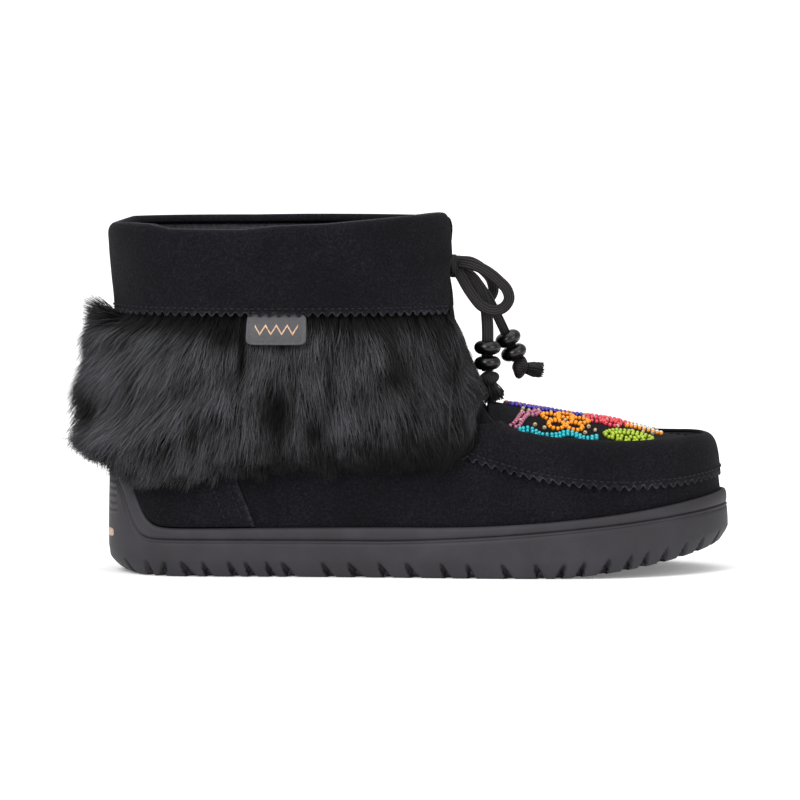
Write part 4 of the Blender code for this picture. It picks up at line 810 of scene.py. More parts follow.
# Suede: split leather brushed to a nap, dyed black. Fingers and flexing leave soft paler and darker patches, and the
# nap gives a faint sheen at grazing angles. Its grain of about 1 mm is several times as coarse as a real nap, which
# the render would lose.
suede, suede_shader, suede_place = new_material(
    "dyed_split_suede", 0.95, Sheen_Weight=0.02, Sheen_Roughness=0.5, Specular_IOR_Level=0.08
)
suede_patch = add_node(suede, "ShaderNodeTexNoise", {"Vector": suede_place, "Scale": 30.0, "Detail": 3.0})
suede_nap = add_node(
    suede, "ShaderNodeTexNoise", {"Vector": suede_place, "Scale": 1000.0, "Detail": 5.0, "Roughness": 0.7}
)
# One mark makes the suede paler at its pinked and cut edges and also paints a highlight along the cuff's fold, where
# its rim catches the light.
suede_cut_and_fold_highlight = add_node(suede, "ShaderNodeAttribute", attribute_name="cut_edge_and_fold_highlight")
suede_tone = suede_nap.outputs["Fac"]
for part, share in ((suede_patch, 0.35), (suede_cut_and_fold_highlight, 0.28)):
    inputs = {0: part.outputs["Fac"], 1: share, 2: suede_tone}
    suede_tone = add_node(suede, "ShaderNodeMath", inputs, operation="MULTIPLY_ADD").outputs[0]
dress(
    suede, suede_shader, suede_nap.outputs["Fac"], 0.32, suede_tone,
    ((0.42, "060508"), (0.66, "0e0d11"), (0.86, "1b1a1f"), (1.0, "35343a")),
)

# The lining: grey brushed textile with a short even pile.
textile = grained_material(
    "brushed_lining_textile", 0.95, 620.0, 5.0, 0.4, ((0.3, "303033"), (0.5, "3d3d41"), (0.72, "4c4c50")),
    Sheen_Weight=0.1, Sheen_Roughness=0.5, Specular_IOR_Level=0.1,
)

upper_u = even_columns(UPPER_COLUMNS)
upper_v = np.linspace(0.0, 1.0, UPPER_ROWS)
upper_foot = in_space(outline(upper_u, RIM_LIP + 0.3), cup_floor(sole_x(upper_u)) + 0.3)
upper_grid = np.concatenate([upper_foot[:, None], upper_out(upper_u[:, None], upper_v, 0.0)], 1)
upper_faces = grid_faces(len(upper_u), UPPER_ROWS + 1, close_columns=True)
wall_of(put("suede_upper", upper_grid, upper_faces, suede, "upper"), WALL, textile)


# The tongue: a strip of the same suede, 3 mm thick with its lining, sewn under the plug's rear edge and standing
# loose behind the throat.
TongueRow = namedtuple("TongueRow", "x z half_width round")
TONGUE_ROWS = [TongueRow(*row) for row in (
    (188.0, 68.2, 13.0, 34.0), (180.0, 70.2, 15.0, 34.0), (173.0, 72.6, 16.5, 32.0), (166.0, 78.2, 17.0, 28.0),
    (160.2, 88.0, 17.0, 24.0), (155.8, 100.0, 16.5, 22.0), (152.4, 114.0, 16.0, 21.0), (149.8, 130.0, 15.5, 20.0),
    (148.2, 145.0, 14.0, 20.0),
)]
TONGUE_STEPS = 70
TONGUE_SIDES = 56
TONGUE_HALF_THICK = 1.5
tongue_at = np.linspace(0.0, 1.0, TONGUE_STEPS)
tongue_keys = np.linspace(0.0, 1.0, len(TONGUE_ROWS))
tongue_x, tongue_z, tongue_half, tongue_round = (
    table_curve(tongue_keys, values, tongue_at) for values in np.array(TONGUE_ROWS).T
)
tongue_line = np.stack([tongue_x, tongue_z], -1)
tongue_way = unit(np.gradient(tongue_line, axis=0))
tongue_front = np.stack([tongue_way[:, 1], -tongue_way[:, 0]], -1)
tongue_turn = full_turn(TONGUE_SIDES)
tongue_close = np.sqrt(np.clip(1.0 - np.abs(2 * tongue_at - 1) ** 24, 0.0, 1.0))[:, None]
tongue_y = squarish(np.cos(tongue_turn), 0.8) * tongue_half[:, None] * (0.7 + 0.3 * tongue_close)
tongue_deep = TONGUE_HALF_THICK - 1.45 * squarish(np.sin(tongue_turn), 0.45) * tongue_close
tongue_drop = tongue_round[:, None] - np.sqrt(tongue_round[:, None] ** 2 - tongue_y**2)
tongue_place = tongue_line[:, None] - tongue_front[:, None] * (tongue_drop + tongue_deep)[..., None]
tongue_points = np.stack([tongue_place[..., 0], tongue_y, tongue_place[..., 1]], -1)
tongue_faces = grid_faces(TONGUE_STEPS, TONGUE_SIDES, close_rows=True)
healed(put("tongue_strip", tongue_points, tongue_faces, suede, "tongue"), weld_mm=1e-3)


# The vamp plug: the top piece of the moccasin toe, a domed sheet of suede whose edge is gathered into the seam.
Ridge = namedtuple("Ridge", "x z")
PLUG_RIDGE = [Ridge(*row) for row in (
    (165, 77.4), (180, 74.8), (192, 72.8), (205, 70.6), (218, 68.7), (232, 66.2), (245, 62.8), (254, 60.2),
    (268, 58.4),
)]


GATHER = 0.35  # height of the gathers' waves
GATHER_PITCH = 4.5
PLUG_COLUMNS = 160
PLUG_ROWS = 45
PLUG_THICK = 2.0


def plug_point(u, across):
    """The plug: straight lines from the outer seam to the inner one, raised to the ridge by 1 - (2 a - 1) ** 2.

    The gathers at its edge are waves that die out within a fifth of the way across."""
    clear = 0.45 + 0.7 * u**8
    inner = upper_edge(u) - in_space(outline_normal(u), 0.0) * clear[..., None]
    outer = upper_edge(-u) - in_space(outline_normal(-u), 0.0) * clear[..., None]
    line = outer * (1 - across)[..., None] + inner * across[..., None]
    ridge = column_table(PLUG_RIDGE, "z", line[..., 0])
    line[..., 2] += (ridge - line[..., 2]) * (1 - (2 * across - 1) ** 2)
    edge = np.minimum(across, 1 - across)
    line[..., 2] += GATHER * np.sin(sole_x(u) * 2 * np.pi / GATHER_PITCH) * np.exp(-((edge / 0.09) ** 2))
    return line


plug_u = sole_column(np.linspace(float(sole_x(0.625)), 279.9, PLUG_COLUMNS))
plug_grid = plug_point(*np.meshgrid(plug_u, np.linspace(0.0, 1.0, PLUG_ROWS), indexing="ij"))
plug_faces = grid_faces(PLUG_COLUMNS, PLUG_ROWS)[:, ::-1]
wall_of(put("moccasin_plug", plug_grid, plug_faces, suede, "vamp_plug"), PLUG_THICK)


# The beadwork: glass seed beads 2.2 mm across and 1.7 mm long, threaded in single and double rows and couched onto the
# plug. The design is a plain one of daisies, leaves and waves in bright opaque glass, with small gilt beads between.
bead_u = sole_column(np.linspace(float(sole_x(0.626)), 279.5, 300))
bead_near, bead_far = plug_point(bead_u, np.zeros(300)), plug_point(bead_u, np.ones(300))
bead_mid_x = (bead_near[:, 0] + bead_far[:, 0]) / 2


def on_plug(x, y):
    """The plug's face over a place in plan: its column from the middle of the two seams, its share from their sides."""
    u = np.interp(x, bead_mid_x, bead_u)
    near, far = (np.interp(x, bead_mid_x, side[:, 1]) for side in (bead_near, bead_far))
    return plug_point(u, np.clip((y - near) / (far - near), 0.0, 1.0))


def petal(x, y, turn_deg, length, width):
    """A petal's outline: length (1 - cos t) / 2 along it and width / 2 sin t (0.75 + 0.25 |sin t|) across it."""
    t = np.linspace(0.0, 2 * np.pi, 60)
    along = length * (1 - np.cos(t)) / 2
    wide = width / 2 * np.sin(t) * (0.75 + 0.25 * np.abs(np.sin(t)))
    c, s = math.cos(math.radians(turn_deg)), math.sin(math.radians(turn_deg))
    return np.stack([x + along * c - wide * s, y + along * s + wide * c], -1)


def daisy(x, y, petals, inner, length, width, start_deg):
    """Petals at even turns round a middle, each starting a radius away from it."""
    turns = [start_deg + 360.0 * k / petals for k in range(petals)]
    return [
        petal(x + inner * math.cos(math.radians(t)), y + inner * math.sin(math.radians(t)), t, length, width)
        for t in turns
    ]


def ripple(x0, x1, y0, y1, height, waves, shift):
    """A wave from (x0, y0) to (x1, y1): a straight line and height times the sine of its share times the waves."""
    t = np.linspace(0.0, 1.0, 90)
    return np.stack([x0 + (x1 - x0) * t, y0 + (y1 - y0) * t + height * np.sin(2 * np.pi * waves * t + shift)], -1)


BEAD_PITCH = 1.95
ORANGE, RED, MAUVE, TEAL, TURQUOISE = "f0930f", "d33a4a", "a8607a", "10a5b4", "13aeb9"
VIOLET, INDIGO, LEAF_GREEN, LIME, WHITE, GILT = "3b2fa0", "2f2790", "9bb41a", "a5bd24", "f2f0ec", "b59d7c"
BEAD_ROWS = (
    *((ORANGE, line) for line in daisy(206.0, -16.6, 5, 3.0, 8.0, 7.2, 18.0)),
    *((RED, line) for line in daisy(225.0, -5.0, 5, 2.8, 7.8, 7.0, 0.0)),
    *((ORANGE, line) for line in daisy(207.0, 20.0, 6, 3.4, 8.4, 6.6, 20.0)),
    *((MAUVE, line) for line in daisy(190.0, 8.0, 5, 3.2, 7.6, 6.4, 30.0)),
    (TEAL, ripple(184.0, 221.0, -31.6, -32.4, 1.7, 2.0, 0.0)),
    (TURQUOISE, ripple(184.0, 221.0, -29.4, -30.2, 1.7, 2.0, 0.0)),
    (MAUVE, ripple(180.0, 192.5, -27.6, -8.5, 2.0, 1.5, 3.0)),
    (MAUVE, ripple(182.2, 194.7, -28.8, -9.7, 2.0, 1.5, 3.0)),
    (VIOLET, ripple(181.0, 214.0, -5.4, -2.6, 1.2, 2.0, 0.4)),
    (INDIGO, ripple(181.0, 214.0, -3.1, -0.3, 1.2, 2.0, 0.4)),
    (TEAL, ripple(184.0, 240.0, 33.0, 30.5, 2.0, 2.6, 1.0)),
    (LEAF_GREEN, petal(224.0, -27.5, 13.0, 22.0, 11.5)),
    (LIME, petal(227.0, -26.7, 13.0, 15.0, 5.0)),
    (LEAF_GREEN, petal(226.0, 20.0, 8.0, 17.0, 10.0)),
    (LIME, petal(229.0, 20.4, 8.0, 10.6, 4.4)),
    (WHITE, ripple(233.0, 250.0, -8.0, -4.0, 1.0, 1.0, 0.0)),
    (ORANGE, ripple(233.0, 250.0, -10.6, -6.6, 1.0, 1.0, 0.0)),
    (WHITE, ripple(216.0, 246.0, 9.5, 10.5, 1.6, 1.5, 0.0)),
)
GILT_PLACES = (
    (185.5, -22.5), (188.4, -17.5), (186.2, -14.0), (189.4, -11.0), (192.0, -24.4), (186.8, -9.0), (193.8, -7.8),
    (196.4, -26.0), (199.5, -7.6), (206.0, -16.6), (214.4, -7.0), (216.6, -21.0), (225.0, -5.0), (219.6, -24.4),
    (215.0, -27.4), (229.6, -14.6), (236.2, -17.6), (241.0, -14.6), (245.4, -11.8), (190.0, 8.0), (207.0, 20.0),
    (200.0, 6.0), (214.0, 12.6), (196.6, 24.8), (186.4, 20.0), (218.8, 27.0), (240.6, 16.0), (246.0, 4.0),
)
BEAD_SIDES = 8
BEAD_PROFILE = np.array([(0.32, -0.76), (0.82, -0.66), (1.1, 0.0), (0.82, 0.66), (0.32, 0.76)])  # radius, place
BEAD_SINK = 0.72  # height of a bead's axis over the plug
bead_rng = np.random.default_rng(19)
bead_at, bead_way, bead_tint, bead_size = [], [], [], []
for tint, line in BEAD_ROWS:
    run = run_of(on_plug(*line.T))
    count = max(2, int(run[-1] / BEAD_PITCH))
    at = (np.arange(count) + 0.5) / count * run[-1]
    bead_at.append(read_line(line, run, at))
    bead_way.append(read_line(line, run, at + 0.3) - read_line(line, run, at - 0.3))
    bead_tint.append(np.tile(linear(tint), (count, 1)))
    bead_size.append(np.full(count, 1.0) + bead_rng.normal(0.0, 0.035, count))
gilt = np.array(GILT_PLACES)
bead_at.append(gilt)
bead_way.append(bead_rng.normal(0.0, 1.0, gilt.shape))
bead_tint.append(np.tile(linear(GILT), (len(gilt), 1)))
bead_size.append(np.full(len(gilt), 0.95))
bead_at, bead_way, bead_tint, bead_size = (np.concatenate(part) for part in (bead_at, bead_way, bead_tint, bead_size))
bead_x, bead_y = bead_at.T
bead_slopes = (
    on_plug(bead_x + 0.4, bead_y) - on_plug(bead_x - 0.4, bead_y),
    on_plug(bead_x, bead_y + 0.4) - on_plug(bead_x, bead_y - 0.4),
)
bead_normal = unit(np.cross(*bead_slopes))
bead_axis = in_space(unit(bead_way), np.zeros(len(bead_way)))
bead_axis = unit(bead_axis - bead_normal * (bead_axis * bead_normal).sum(-1, keepdims=True))
bead_side = np.cross(bead_axis, bead_normal)
bead_round = full_turn(BEAD_SIDES)[None, :, None]
ring_out = (bead_normal[:, None] * np.cos(bead_round) + bead_side[:, None] * np.sin(bead_round))[:, :, None]
bead_radius, bead_place = BEAD_PROFILE.T[:, :, None]
bead_scale = bead_size[:, None, None, None]
bead_foot = on_plug(*bead_at.T) + bead_normal * (BEAD_SINK * bead_size)[:, None]
bead_points = bead_foot[:, None, None] + (ring_out * bead_radius + bead_axis[:, None, None] * bead_place) * bead_scale
bead_faces = many(grid_faces(BEAD_SIDES, 5, True, True), len(bead_foot), BEAD_SIDES * 5)

# Opaque glass: pressed and cut from drawn cane, with a wet gloss and a slightly softer body colour.
glass, glass_shader, glass_place = new_material("opaque_glass_seed_bead", 0.25, Coat_Weight=0.2, Coat_Roughness=0.1)
glass_tint = add_node(glass, "ShaderNodeAttribute", attribute_name="tint")
glass_vary = add_node(glass, "ShaderNodeTexNoise", {"Vector": glass_place, "Scale": 420.0, "Detail": 2.0})
glass_lift = add_node(glass, "ShaderNodeMapRange", {"Value": glass_vary.outputs["Fac"], "To Min": 0.8, "To Max": 1.1})
glass_mix = add_node(
    glass, "ShaderNodeVectorMath", {0: glass_tint.outputs["Color"], "Scale": glass_lift.outputs[0]}, operation="SCALE"
)
glass.node_tree.links.new(glass_mix.outputs["Vector"], glass_shader.inputs["Base Color"])
dress(glass, glass_shader, glass_vary.outputs["Fac"], 0.04)
beadwork = healed(put("plug_beadwork", bead_points, bead_faces, glass))
tint_of = beadwork.data.color_attributes.new("tint", "FLOAT_COLOR", "POINT")
tint_of.data.foreach_set("color", np.repeat(bead_tint, BEAD_SIDES * 5, 0).astype(np.float32).ravel())


# The toe band: a strip of suede laid round the vamp, its lower edge pinked into teeth 4.4 mm wide and held down by
# a row of stitches in black thread.
TOOTH = 4.4
TOOTH_DEPTH = 2.0
TOOTH_STEPS = 6
OVERLAY = 1.4
STITCH_PITCH = 3.0
STITCH_LENGTH = 2.3
STITCH_RADIUS = 0.42
STITCH_STEPS, STITCH_SIDES = 7, 6
BandEdge = namedtuple("BandEdge", "column z")
BAND_EDGE = [BandEdge(*row) for row in (
    (0.50, 55.6), (0.55, 52.1), (0.60, 46.2), (0.65, 41.9), (0.70, 39.5), (0.80, 39.8), (0.90, 42.0), (1.00, 43.2),
)]


def toothed(line, columns):
    """The columns of a pinked edge along a line whose points stand at given columns, and each one's share of a tooth's
    depth: half of 1 + cos, 0 at a tip and 1 in a valley."""
    length = run_of(line)
    count = int(round(length[-1] / TOOTH)) * TOOTH_STEPS + 1
    wave = 0.5 + 0.5 * np.cos(2 * np.pi * np.arange(count) / TOOTH_STEPS)
    places = np.interp(np.linspace(0.0, length[-1], count), length, np.arange(len(line)))
    return np.interp(places, np.arange(len(line)), columns), wave


def stitch_row(name, line, out_of, length=STITCH_LENGTH):
    """Stitches along a line: at every pitch a thread that rises from one hole and sinks in the next, as a tube of
    6 sides whose middle stands a thread's radius proud of the sheet."""
    line, out_of = np.asarray(line), unit(np.asarray(out_of))
    run = run_of(line)
    places = np.arange(STITCH_PITCH, run[-1] - STITCH_PITCH / 2, STITCH_PITCH)
    share = np.linspace(-1.0, 1.0, STITCH_STEPS)
    at = places[:, None] + share * length / 2
    middle, normal = read_line(line, run, at), unit(read_line(out_of, run, at))
    way = unit(np.gradient(middle, axis=1))
    side = np.cross(way, normal)
    radius = STITCH_RADIUS * np.sqrt(1.0 - 0.9 * share**2)
    middle = middle + normal * (0.22 - 0.62 * share**4)[None, :, None]
    turn = full_turn(STITCH_SIDES)[:, None]
    ring = side[:, :, None] * np.cos(turn) + normal[:, :, None] * np.sin(turn)
    ring = middle[:, :, None] + radius[None, :, None, None] * ring
    one = grid_faces(STITCH_STEPS, STITCH_SIDES, close_rows=True)
    faces = many(one, len(places), STITCH_STEPS * STITCH_SIDES)
    healed(put(name, ring, faces, nylon), holes=STITCH_SIDES)


# Bonded nylon thread: black with a slight gloss, a little lighter than the suede.
nylon = grained_material(
    "bonded_nylon_thread", 0.6, 1500.0, 2.0, 0.1, ((0.35, "0b0a0c"), (0.65, "19181b")), Specular_IOR_Level=0.2
)

BAND_ROWS = 21
BAND_OUT = 1.85
BAND_TOP_ROW = 0.89
BAND_SEAM = 3.8  # height of the stitches over the teeth's tips
band_all = np.arange(17.0, 47.01, 0.05) / 32  # from the collar's corner round the toe to the other corner
band_edge_line = upper_form(band_all, row_at_height(band_all, column_table(BAND_EDGE, "z", np.abs(wrapped(band_all)))))
band_u, band_wave = toothed(band_edge_line, band_all)
band_column = np.abs(wrapped(band_u))
band_z = column_table(BAND_EDGE, "z", band_column)
band_low = row_at_height(band_u, band_z + TOOTH_DEPTH * band_wave)
band_top = np.minimum(BAND_TOP_ROW, row_at_height(band_u, np.maximum(68.0, band_z + 12.0)))
band_top = np.where(band_column < 0.65, band_top, BAND_TOP_ROW)
band_beside = np.clip((band_column - 0.58) / 0.03, 0.0, 1.0) * np.clip((0.75 - band_column) / 0.06, 0.0, 1.0)
band_out = BAND_OUT + 0.6 * band_beside - 0.8 * np.clip((band_column - 0.8) / 0.2, 0.0, 1.0)
band_v = band_low[:, None] + (band_top - band_low)[:, None] * np.linspace(0.0, 1.0, BAND_ROWS) ** 1.15
band_grid = upper_out(band_u[:, None], band_v, band_out[:, None])
band_faces = grid_faces(len(band_u), BAND_ROWS)
band = wall_of(put("toe_band_pinked", band_grid, band_faces, suede, "toe_band"), OVERLAY)
mark_points(band, "cut_edge_and_fold_highlight", np.tile(np.exp(-np.arange(BAND_ROWS) * 0.9), len(band_u)))
band_seam_v = row_at_height(band_u, band_z + BAND_SEAM)
band_seam = upper_out(band_u, band_seam_v, band_out)
stitch_row("toe_band_stitches", band_seam, upper_out(band_u, band_seam_v, band_out + 1) - band_seam)


# The heel counter: a suede overlay round the back, tucked behind the rim, with two rows of stitches along its
# slanted front edge.
CounterEdge = namedtuple("CounterEdge", "z column")
COUNTER_EDGE = (CounterEdge(23.0, 0.3245), CounterEdge(48.0, 0.2980), CounterEdge(80.0, 0.2800))
COUNTER_TOP = 78.0
COUNTER_OUT = 1.9
COUNTER_COLUMNS = 141
COUNTER_ROWS = 30
SEAM_INSETS = (0.0125, 0.034)  # in columns, from the overlay's front edge
counter_share, counter_rise = np.meshgrid(
    np.linspace(-1.0, 1.0, COUNTER_COLUMNS), np.linspace(0.0, 1.0, COUNTER_ROWS), indexing="ij"
)
counter_z = COUNTER_EDGE[0].z + (COUNTER_TOP - COUNTER_EDGE[0].z) * counter_rise
for _ in range(3):  # the column depends on the height and the foot on the column, so they are settled in turn
    counter_u = counter_share * column_table(COUNTER_EDGE, "column", counter_z)
    counter_low = rim_top(sole_x(counter_u) - 0.5) + 0.7
    counter_z = counter_low + (COUNTER_TOP - counter_low) * counter_rise
counter_grid = upper_out(counter_u, row_at_height(counter_u, counter_z), COUNTER_OUT)
counter_faces = grid_faces(COUNTER_COLUMNS, COUNTER_ROWS)
counter = put("heel_counter_overlay", counter_grid, counter_faces, suede, "heel_counter")
wall_of(counter, OVERLAY)
mark_points(counter, "cut_edge_and_fold_highlight", 0.8 * np.exp(-(1.0 - np.abs(counter_share.ravel())) * 70.0))
for side, side_name in ((-1, "outer"), (1, "inner")):
    for inset in SEAM_INSETS:
        seam_z = np.linspace(24.2, 62.0, 60)
        seam_u = side * (column_table(COUNTER_EDGE, "column", seam_z) - inset)
        seam_v = row_at_height(seam_u, seam_z)
        seam = upper_out(seam_u, seam_v, COUNTER_OUT)
        seam_out = upper_out(seam_u, seam_v, COUNTER_OUT + 1.0) - seam
        stitch_row(f"counter_stitches_{side_name}_{inset * 1000:.0f}", seam, seam_out)


# The cuff: a sheet of suede folded over the collar, open at the front in a slit that the lace draws together, with
# a pinked lower edge and a row of stitches just above it.
CuffRow = namedtuple("CuffRow", "share out z")
CUFF_ROWS = [CuffRow(*row) for row in (
    (0.00, 5.5, 116.6), (0.30, 5.4, 134.0), (0.55, 4.9, 148.5), (0.66, 4.1, 155.1), (0.73, 2.4, 157.9),
    (0.80, -0.6, 158.5), (0.89, -4.0, 158.0), (0.94, -4.9, 157.0), (1.00, -5.2, 155.4),
)]
CUFF_HEM = CUFF_ROWS[0].z
CUFF_OUT = CUFF_ROWS[0].out
CUFF_RIM_NEAR = (  # how far the outer side's rim stands over the rows, by x
    (0.0, -1.6), (8.0, -0.9), (18.0, -1.2), (27.0, -3.1), (60.0, -3.1), (76.0, -1.4), (100.0, -0.5), (118.0, 0.9),
    (135.0, 2.2), (150.0, 3.2),
)
CUFF_RIM_FAR = ((0.0, -1.6), (8.0, 0.6), (65.0, 0.3), (90.0, 0.6), (150.0, 0.9))
CUFF_LINES = 33
CUFF_THICK = 1.8
SLIT_PULL = 137.5  # height at which the lace draws the slit together
CUFF_SEAM = 0.062  # share of the cuff's width at the stitches
cuff_all = np.linspace(-CORNER, CORNER, 1201)
cuff_u, cuff_wave = toothed(beside_upper(cuff_all, CUFF_HEM, CUFF_OUT), cuff_all)
cuff_share = np.linspace(0.0, 1.0, CUFF_LINES) ** 1.05


def cuff_point(u, share, wave):
    """The cuff: its profile's distance out and height at a share of its width, with the teeth at the lowest rows,
    slow waves of the hand-turned fold, a rim that dips over the outer side, a heel drawn in, and both edges of the
    slit drawn back, the inner one where the lace pulls at it."""
    out = column_table(CUFF_ROWS, "out", share)
    z = column_table(CUFF_ROWS, "z", share) + TOOTH_DEPTH * wave * np.clip(1.0 - share / 0.05, 0.0, 1.0)
    near, far = (np.interp(sole_x(u), *np.transpose(rim)) for rim in (CUFF_RIM_NEAR, CUFF_RIM_FAR))
    z = z + np.where(u < 0, near, far) * np.clip((share - 0.3) / 0.4, 0.0, 1.0)
    hang = np.sin(np.pi * np.clip(share / 0.66, 0.0, 1.0))
    out = out + 0.5 * hang * (np.sin(u * 21.0) + 0.6 * np.sin(u * 37.0 + 1.2)) * (np.abs(u) > 0.02)
    heel = np.exp(-((u / 0.12) ** 2))
    out = out - heel * (1.3 + 0.9 * np.exp(-(((z - 119.0) / 10.0) ** 2))) * np.clip(1.2 - share, 0.0, 1.0)
    sheet = beside_upper(u, z, out)
    sheet[..., 0] -= (1.6 + 1.2 * (z < 140)) * (u < 0) * np.clip(np.abs(u) / CORNER, 0.0, 1.0) ** 5
    pull = np.clip(u / CORNER, 0.0, 1.0) ** 12 * np.exp(-(((z - SLIT_PULL) / 11.0) ** 2)) * (share < 0.7)
    sheet[..., 0] -= 2.2 * pull
    return sheet


cuff_grid = cuff_point(cuff_u[:, None], cuff_share[None, :], cuff_wave[:, None])
cuff_faces = grid_faces(len(cuff_u), CUFF_LINES)
cuff = wall_of(put("folded_cuff", cuff_grid, cuff_faces, suede, "collar_cuff"), CUFF_THICK, textile)
# Paler rows at the pinked hem's cut edge, and a painted highlight along the fold at the rim's top, where the sheet
# catches the light.
cuff_cut_and_fold_highlight = np.exp(-np.arange(CUFF_LINES) * 1.1) + 1.3 * np.exp(-(((cuff_share - 0.78) / 0.035) ** 2))
mark_points(cuff, "cut_edge_and_fold_highlight", np.tile(cuff_cut_and_fold_highlight, len(cuff_u)))
cuff_seam = cuff_point(cuff_u, np.full(cuff_u.shape, CUFF_SEAM), 0.0 * cuff_u)
cuff_seam_out = beside_upper(cuff_u, CUFF_HEM + 4.0, CUFF_OUT + 2.0) - beside_upper(cuff_u, CUFF_HEM + 4.0, CUFF_OUT)
stitch_row("cuff_stitches", cuff_seam, cuff_seam_out, 2.2)


# The lace's crossing: the braid passes flat over the tongue between the two edges of the slit.
CROSS_HEIGHT = 139.0
cross_half = COLLAR_HALF * math.sin(COLLAR_END) - 1.2
cross_route = [(150.7 - (y / cross_half) ** 2, y, CROSS_HEIGHT) for y in np.linspace(-cross_half, cross_half, 9)]
braid_along("lace_crossing_braid", cross_route, (1.0, 0.0, 0.0), "lace_bar")


# The side label: a soft moulded rubber plate with a raised rim and rounded lower corners, its top tucked under the
# cuff. It carries a plain zigzag in copper-coloured foil.
TAG_FROM, TAG_LENGTH, TAG_LOW, TAG_HIGH = 63.2, 26.4, 104.4, 118.4
TAG_FACE = 1.5  # how far the plate's face stands out of its back
ZIG_TURNS = 8
ZIG_STEPS, ZIG_SIDES = 161, 8
ZIG_RADIUS = 0.16


def tag_point(across, up, proud):
    """The label: across it 0 to 1 to the toe, up it 0 to 1, leaning in under the cuff by 6.6 mm times up squared."""
    u = -sole_column(TAG_FROM + TAG_LENGTH * across)
    return beside_upper(u, TAG_LOW + (TAG_HIGH - TAG_LOW) * up, 8.6 - 6.6 * up**2 + proud)


def tag_plate(reach, turn):
    """A rounded rectangle by rings: cosine and sine with their sizes to the powers 0.22 and 0.30, about the middle."""
    return 0.5 + 0.5 * reach * squarish(np.cos(turn), 0.22), 0.5 + 0.5 * reach * squarish(np.sin(turn), 0.30)


# Soft moulded rubber, a little smoother and paler than the sole.
tag_rubber = grained_material(
    "soft_tpr_label", 0.5, 800.0, 3.0, 0.08, ((0.3, "3b3a3c"), (0.7, "454447")), Specular_IOR_Level=0.3
)
# The plate's rings, from its face's middle out to the raised rim and round to its back's middle.
TAG_REACH = np.array([0.0, 0.25, 0.5, 0.7, 0.80, 0.86, 0.90, 0.93, 0.97, 0.99, 1.0, 1.0, 0.99, 0.6, 0.0])
TAG_PROUD = np.array([1.5, 1.5, 1.5, 1.5, 1.5, 1.5, 1.55, 1.8, 1.8, 1.7, 1.4, 0.4, 0.0, 0.0, 0.0])
TAG_SIDES = 120
tag_turn, tag_row = np.meshgrid(full_turn(TAG_SIDES), np.arange(len(TAG_REACH)), indexing="ij")
tag_points = tag_point(*tag_plate(TAG_REACH[tag_row], tag_turn), TAG_PROUD[tag_row])
tag_faces = grid_faces(TAG_SIDES, len(TAG_REACH), close_columns=True)
healed(put("side_label", tag_points, tag_faces, tag_rubber, "side_tag"), weld_mm=1e-3)
zig = np.array([(0.14 + 0.09 * k, 0.34 if k % 2 else 0.62) for k in range(ZIG_TURNS + 1)])
zig_line = read_line(zig, np.arange(ZIG_TURNS + 1), np.linspace(0, ZIG_TURNS, ZIG_STEPS))[:, None]
zig_turn = full_turn(ZIG_SIDES)
zig_across, zig_up, zig_proud = np.broadcast_arrays(
    zig_line[..., 0], zig_line[..., 1] + 0.045 * np.cos(zig_turn), TAG_FACE + ZIG_RADIUS * np.sin(zig_turn)
)
zig_faces = grid_faces(ZIG_STEPS, ZIG_SIDES, close_rows=True)
healed(put("label_zigzag", tag_point(zig_across, zig_up, zig_proud), zig_faces, foil), holes=ZIG_SIDES)


# The fur ruff: a band of long-haired dark fur sewn under the cuff. A knitted backing carries the pile. It is drawn as a
# black body that swells out to fill the pile's inner depth, as painted shade. The hairs are 13 to 23 mm long, gather in
# soft locks, fall down and back at the heel and fan forward at the front. A hair is drawn 0.26 to 0.42 mm wide, several
# times its real width, which the render would lose.
FUR_END = 19 / 32
FUR_TOP = 120.6
FurSpan = namedtuple("FurSpan", "column thick hem lean")  # lean: run forward over fall
FUR_SPAN = [FurSpan(*row) for row in (
    (0.00, 19.5, 52.0, -0.72), (0.10, 18.5, 48.0, -0.62), (0.22, 15.5, 43.5, -0.46), (0.30, 14.0, 46.0, -0.26),
    (0.36, 13.0, 48.6, -0.02), (0.44, 12.0, 50.4, 0.14), (0.50, 10.5, 51.5, 0.34), (0.55, 7.5, 55.0, 0.62),
    (0.595, 4.6, 64.0, 0.75),
)]
FUR_SHARES = (  # how full the ruff is, by the share of the way down it
    (0.0, 0.0), (0.07, 0.22), (0.17, 0.74), (0.32, 0.88), (0.62, 0.95), (0.86, 1.0), (1.0, 0.60), (1.12, 0.3),
)
FUR_FRONT = (  # how far forward its front ends reach, by height
    (40.0, 148.0), (50.0, 153.0), (56.0, 162.0), (64.0, 165.5), (84.0, 165.0), (94.0, 161.0), (102.0, 157.0),
    (118.0, 152.5),
)
Hollow = namedtuple("Hollow", "side x z half_x half_z depth")  # where the pile parts: shallower there, and its hairs darkened as painted shade
HOLLOWS = [Hollow(*row) for row in (
    (-1, 77.0, 73.0, 7.0, 15.0, 1.0), (-1, 61.5, 99.0, 1.8, 14.0, 0.9), (-1, 94.0, 64.0, 6.0, 6.0, 0.8),
    (-1, 53.0, 109.0, 8.0, 9.0, 0.8), (-1, 30.0, 113.0, 26.0, 4.0, 0.8), (-1, 2.0, 71.0, 3.5, 11.0, 0.6),
    (-1, 100.0, 88.0, 2.5, 14.0, 0.6), (-1, 128.0, 92.0, 5.0, 12.0, 0.5), (-1, 110.0, 113.0, 20.0, 3.0, 0.5),
    (-1, 40.0, 62.0, 3.0, 9.0, 0.5), (1, 70.0, 80.0, 4.0, 17.0, 0.6), (1, 31.0, 94.0, 2.4, 15.0, 0.5),
    (1, 116.0, 82.0, 3.0, 16.0, 0.5), (1, 92.0, 112.0, 24.0, 4.0, 0.5), (1, 46.0, 62.0, 2.5, 12.0, 0.4),
)]
BACKING_OUT = 1.6  # where a hair starts
